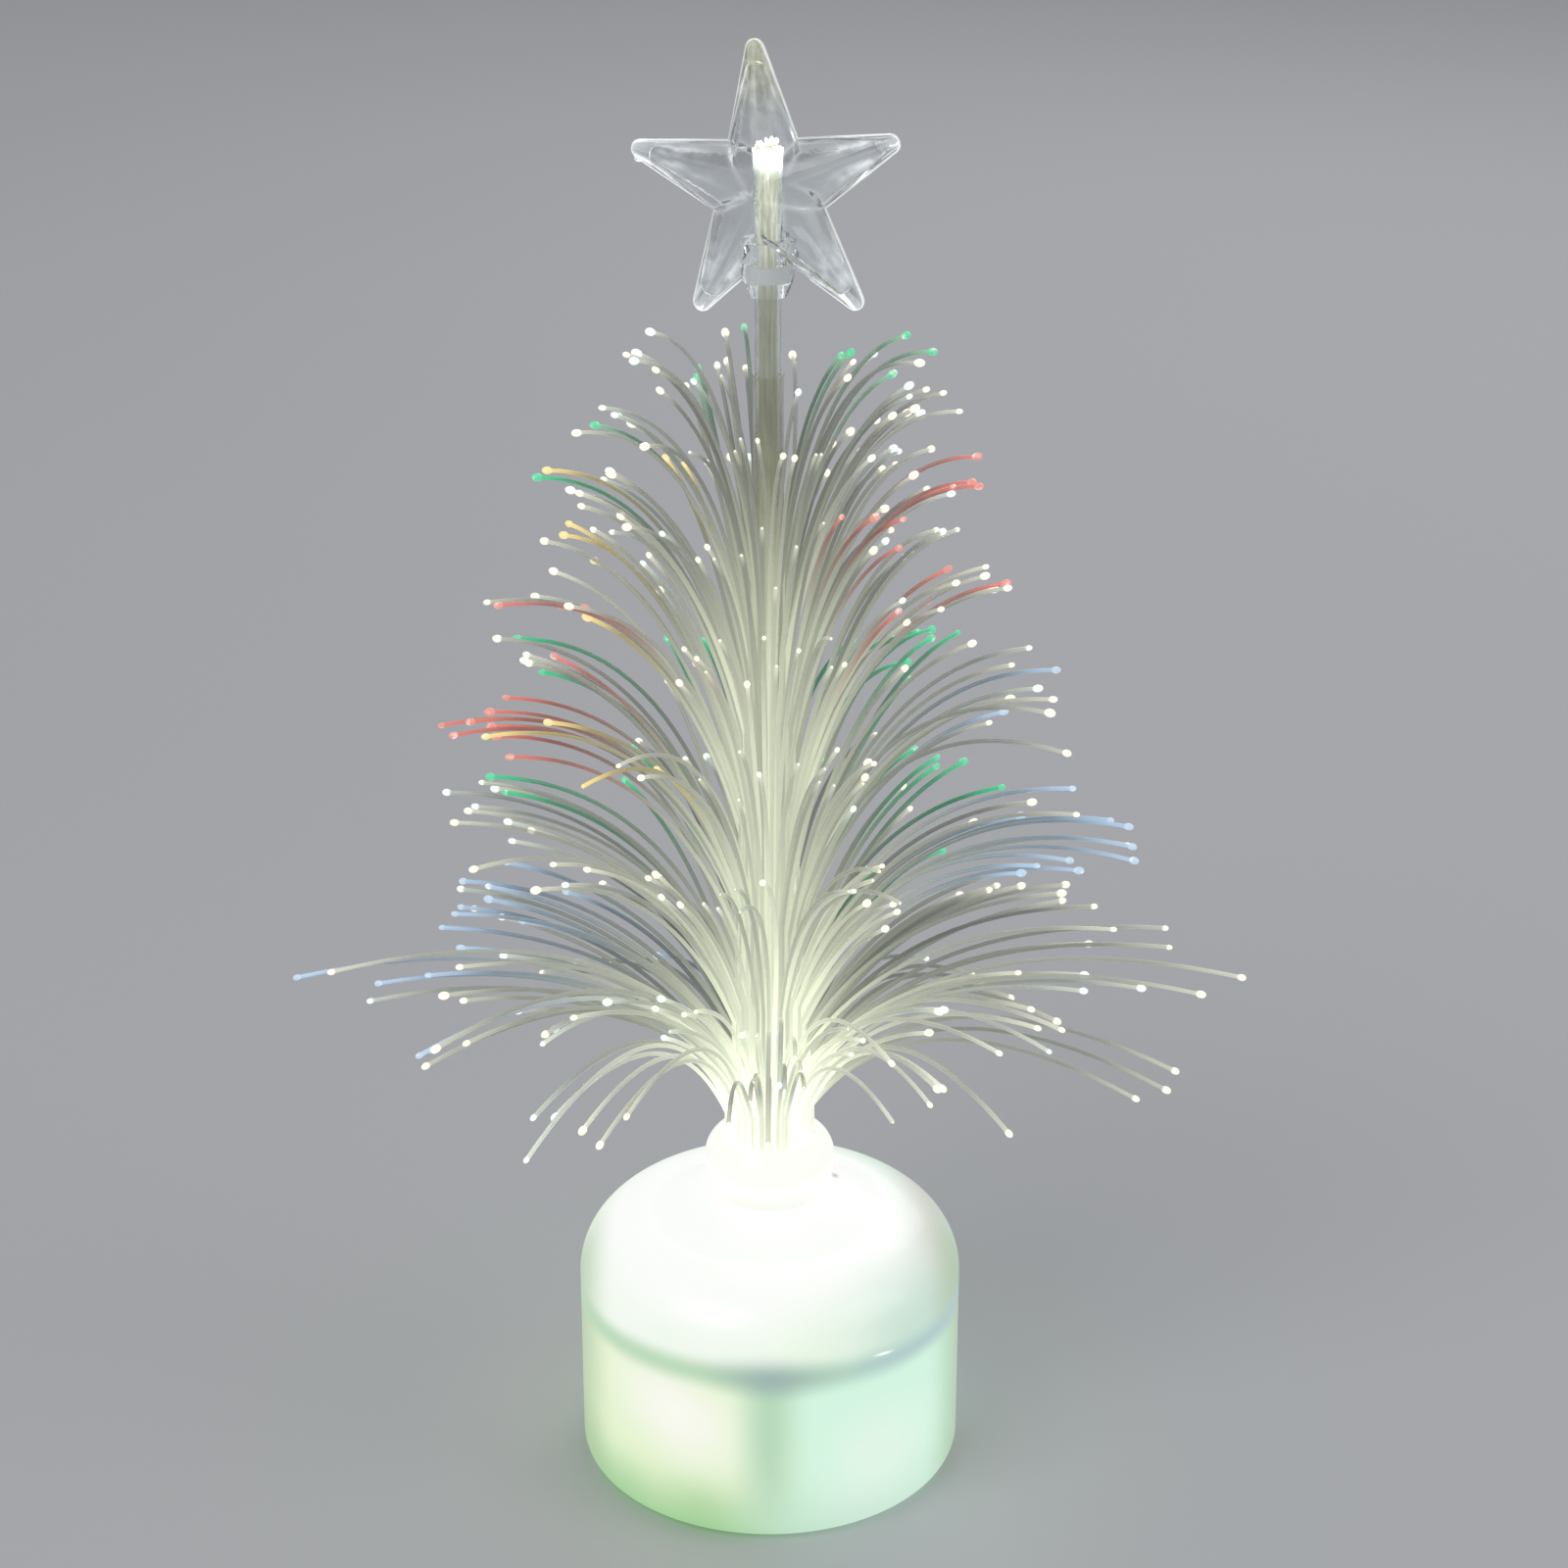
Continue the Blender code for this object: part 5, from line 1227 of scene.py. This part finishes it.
def make_weld():
    """The weld line round the star's seam, with the nub that the mould's gate leaves on one arm."""
    weld = bpy.data.curves.new("star_weld", "CURVE")
    weld.dimensions = "3D"
    weld.bevel_depth = SEAM_BEAD
    weld.bevel_resolution = 2
    weld.use_fill_caps = True
    spline = weld.splines.new("POLY")
    angles = sorted((angle + math.pi) % (2 * math.pi) - math.pi for angle in star_columns())
    angles = [angle for angle in angles if abs(angle) < math.pi - math.radians(SEAM_OPENING)]
    spline.points.add(len(angles) - 1)
    for point, angle in zip(spline.points, angles):
        point.co = (*star_place(star_outline(angle) - SEAM_BEAD * SEAM_BEAD_SUNK_SHARE, angle, 0), 1.0)
    # The weld line's faint glow is painted light, a bright line round the star's outline
    finish = clear_finish("weld_clear_glow", (0.98, 1.0, 1.0), 0.1, 1.0, emission=0.18)
    line = bake_curve(add_piece("star_weld", weld, finish))
    direction = math.radians(NUB_TURN)
    place = star_place(star_outline(direction) * NUB_REACH_SHARE, direction, 0)
    with edited(line.data) as shape:
        nub = bmesh.ops.create_uvsphere(shape, u_segments=14, v_segments=8, radius=1.0)["verts"]
        bmesh.ops.scale(shape, verts=nub, vec=NUB_SIZE)
        bmesh.ops.translate(shape, verts=nub, vec=place)
    line.data.shade_smooth()
    ride_for(line, "star", "clear_plastic")


def bake_curve(piece):
    """Turn a curve piece into a plain smooth mesh under the same name."""
    mesh = plain_mesh(piece)
    name = piece.name
    bpy.data.objects.remove(piece, do_unlink=True)
    made = add_piece(name, mesh)
    tidy_mesh(mesh, WELD_SMOOTH_ANGLE)
    return made


def dress_nodes():
    """Materials of the CAD nodes that keep their shape."""
    white = moulded("white_moulding", (0.80, 0.80, 0.77), 0.42)
    black = moulded("black_moulding", (0.025, 0.025, 0.027), 0.45)
    nickel = plated("nickel", (0.72, 0.70, 0.66), 0.28)
    finishes = {
        white: ("bottom_cover", "battery_door", "bundle_ferrule"),
        # The bushing's faint glow is painted light
        moulded("bushing_frost_glow", (0.85, 0.87, 0.86), 0.4, Emission_Strength=0.12,
                Emission_Color=(1.0, 1.0, 0.97, 1.0)): ("star_bushing",),
        black: ("battery_holder", "switch_body", "switch_knob"),
        nickel: ("button_cell_1", "button_cell_2", "button_cell_3", "contact_plate", "contact_backplate",
                 "contact_spring", "lamp_pin_1", "lamp_pin_2"),
        moulded("board_green", (0.04, 0.22, 0.10), 0.45, 6.0, 0.2): ("circuit_board",),
        moulded("lamp_resin", (0.92, 0.95, 0.98), 0.1, Emission_Strength=1.0,
                Emission_Color=(0.9, 0.95, 1.0, 1.0)): ("lamp_lens",),
        moulded("black_insulation", (0.02, 0.02, 0.02), 0.5): ("lead_wire_1", "lead_wire_3"),
        moulded("red_insulation", (0.5, 0.03, 0.03), 0.5): ("lead_wire_2", "lead_wire_4"),
    }
    for finish, nodes in finishes.items():
        for name in nodes:
            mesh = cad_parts[name].data
            mesh.materials.clear()
            mesh.materials.append(finish)


def make_screws():
    """The cover's two screws, each with the cross in its head that a driver turns."""
    steel = plated("screw_steel", (0.6, 0.6, 0.6), 0.35)
    for number, turn in enumerate(CROSS_TURNS, 1):
        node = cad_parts[f"cover_screw_{number}"]
        low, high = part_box(node.name)
        mesh = node.data.copy()
        mesh.transform(node.matrix_world)
        mesh.materials.clear()
        screw = add_piece(f"steel_screw_{number}", mesh, steel)
        middle = ((low.x + high.x) / 2, (low.y + high.y) / 2, low.z)
        for arm in (0, 90):
            combine(screw, add_block("cross_arm", middle, CROSS_ARM, turn + arm), "DIFFERENCE")
        tidy_mesh(screw.data, SMOOTH_ANGLE)
        ride_for(screw, "base", "screw_steel", node.name)


def make_stage():
    """A plain pale floor, a soft room light and three large lamps."""
    mesh = bpy.data.meshes.new("floor")
    with edited(mesh) as shape:
        bmesh.ops.create_grid(shape, x_segments=1, y_segments=1, size=FLOOR_REACH)
    add_piece("floor", mesh, floor_finish())
    world = bpy.data.worlds.new("room")
    bpy.context.scene.world = world
    world.use_nodes = True
    back = world.node_tree.nodes["Background"]
    back.inputs["Color"].default_value = (*ROOM_COLOUR, 1.0)
    back.inputs["Strength"].default_value = ROOM_LIGHT
    for name, place, size, power in LAMPS:
        add_lamp(name, place, size, power)


def add_lamp(name, place, size, power):
    """A square area lamp that looks at the tree's middle."""
    lamp = bpy.data.lights.new(name, "AREA")
    lamp.size = size
    lamp.energy = power
    made = add_piece(name, lamp)
    made.location = place
    aim = Vector(LAMP_AIM) - Vector(place)
    made.rotation_euler = aim.to_track_quat("-Z", "Y").to_euler()


def make_camera():
    """The camera at the photograph's angle."""
    camera = bpy.data.cameras.new("camera")
    camera.lens = CAMERA_LENS
    camera.sensor_width = SENSOR_WIDTH
    camera.clip_start = CAMERA_NEAR
    made = add_piece("camera", camera)
    made.location = CAMERA_PLACE
    made.rotation_euler = (math.radians(90 - CAMERA_PITCH), 0, 0)
    bpy.context.scene.camera = made


STAR_SECTOR = 2 * math.pi / STAR_ARMS
STAR_SLOPE, STAR_TIP_ANGLE, STAR_TIP_CENTRE, STAR_TANGENT = star_measures()
STAR_CENTRE = CAD_HIGH.z - (STAR_TIP_CENTRE + STAR_TIP_ROUND) * math.cos(math.radians(STAR_ROLL))
SOCKET_FOOT = STAR_CENTRE - SOCKET_BELOW_STAR_CENTRE

bpy.context.scene.view_settings.view_transform = "Standard"
make_camera()
make_stage()
make_base()
fibres, sockets = fibre_tree(strand_finish(), bead_finish())
make_crown(fibres, sockets)
make_stem(fibres, sockets)
make_star()
make_screws()
dress_nodes()
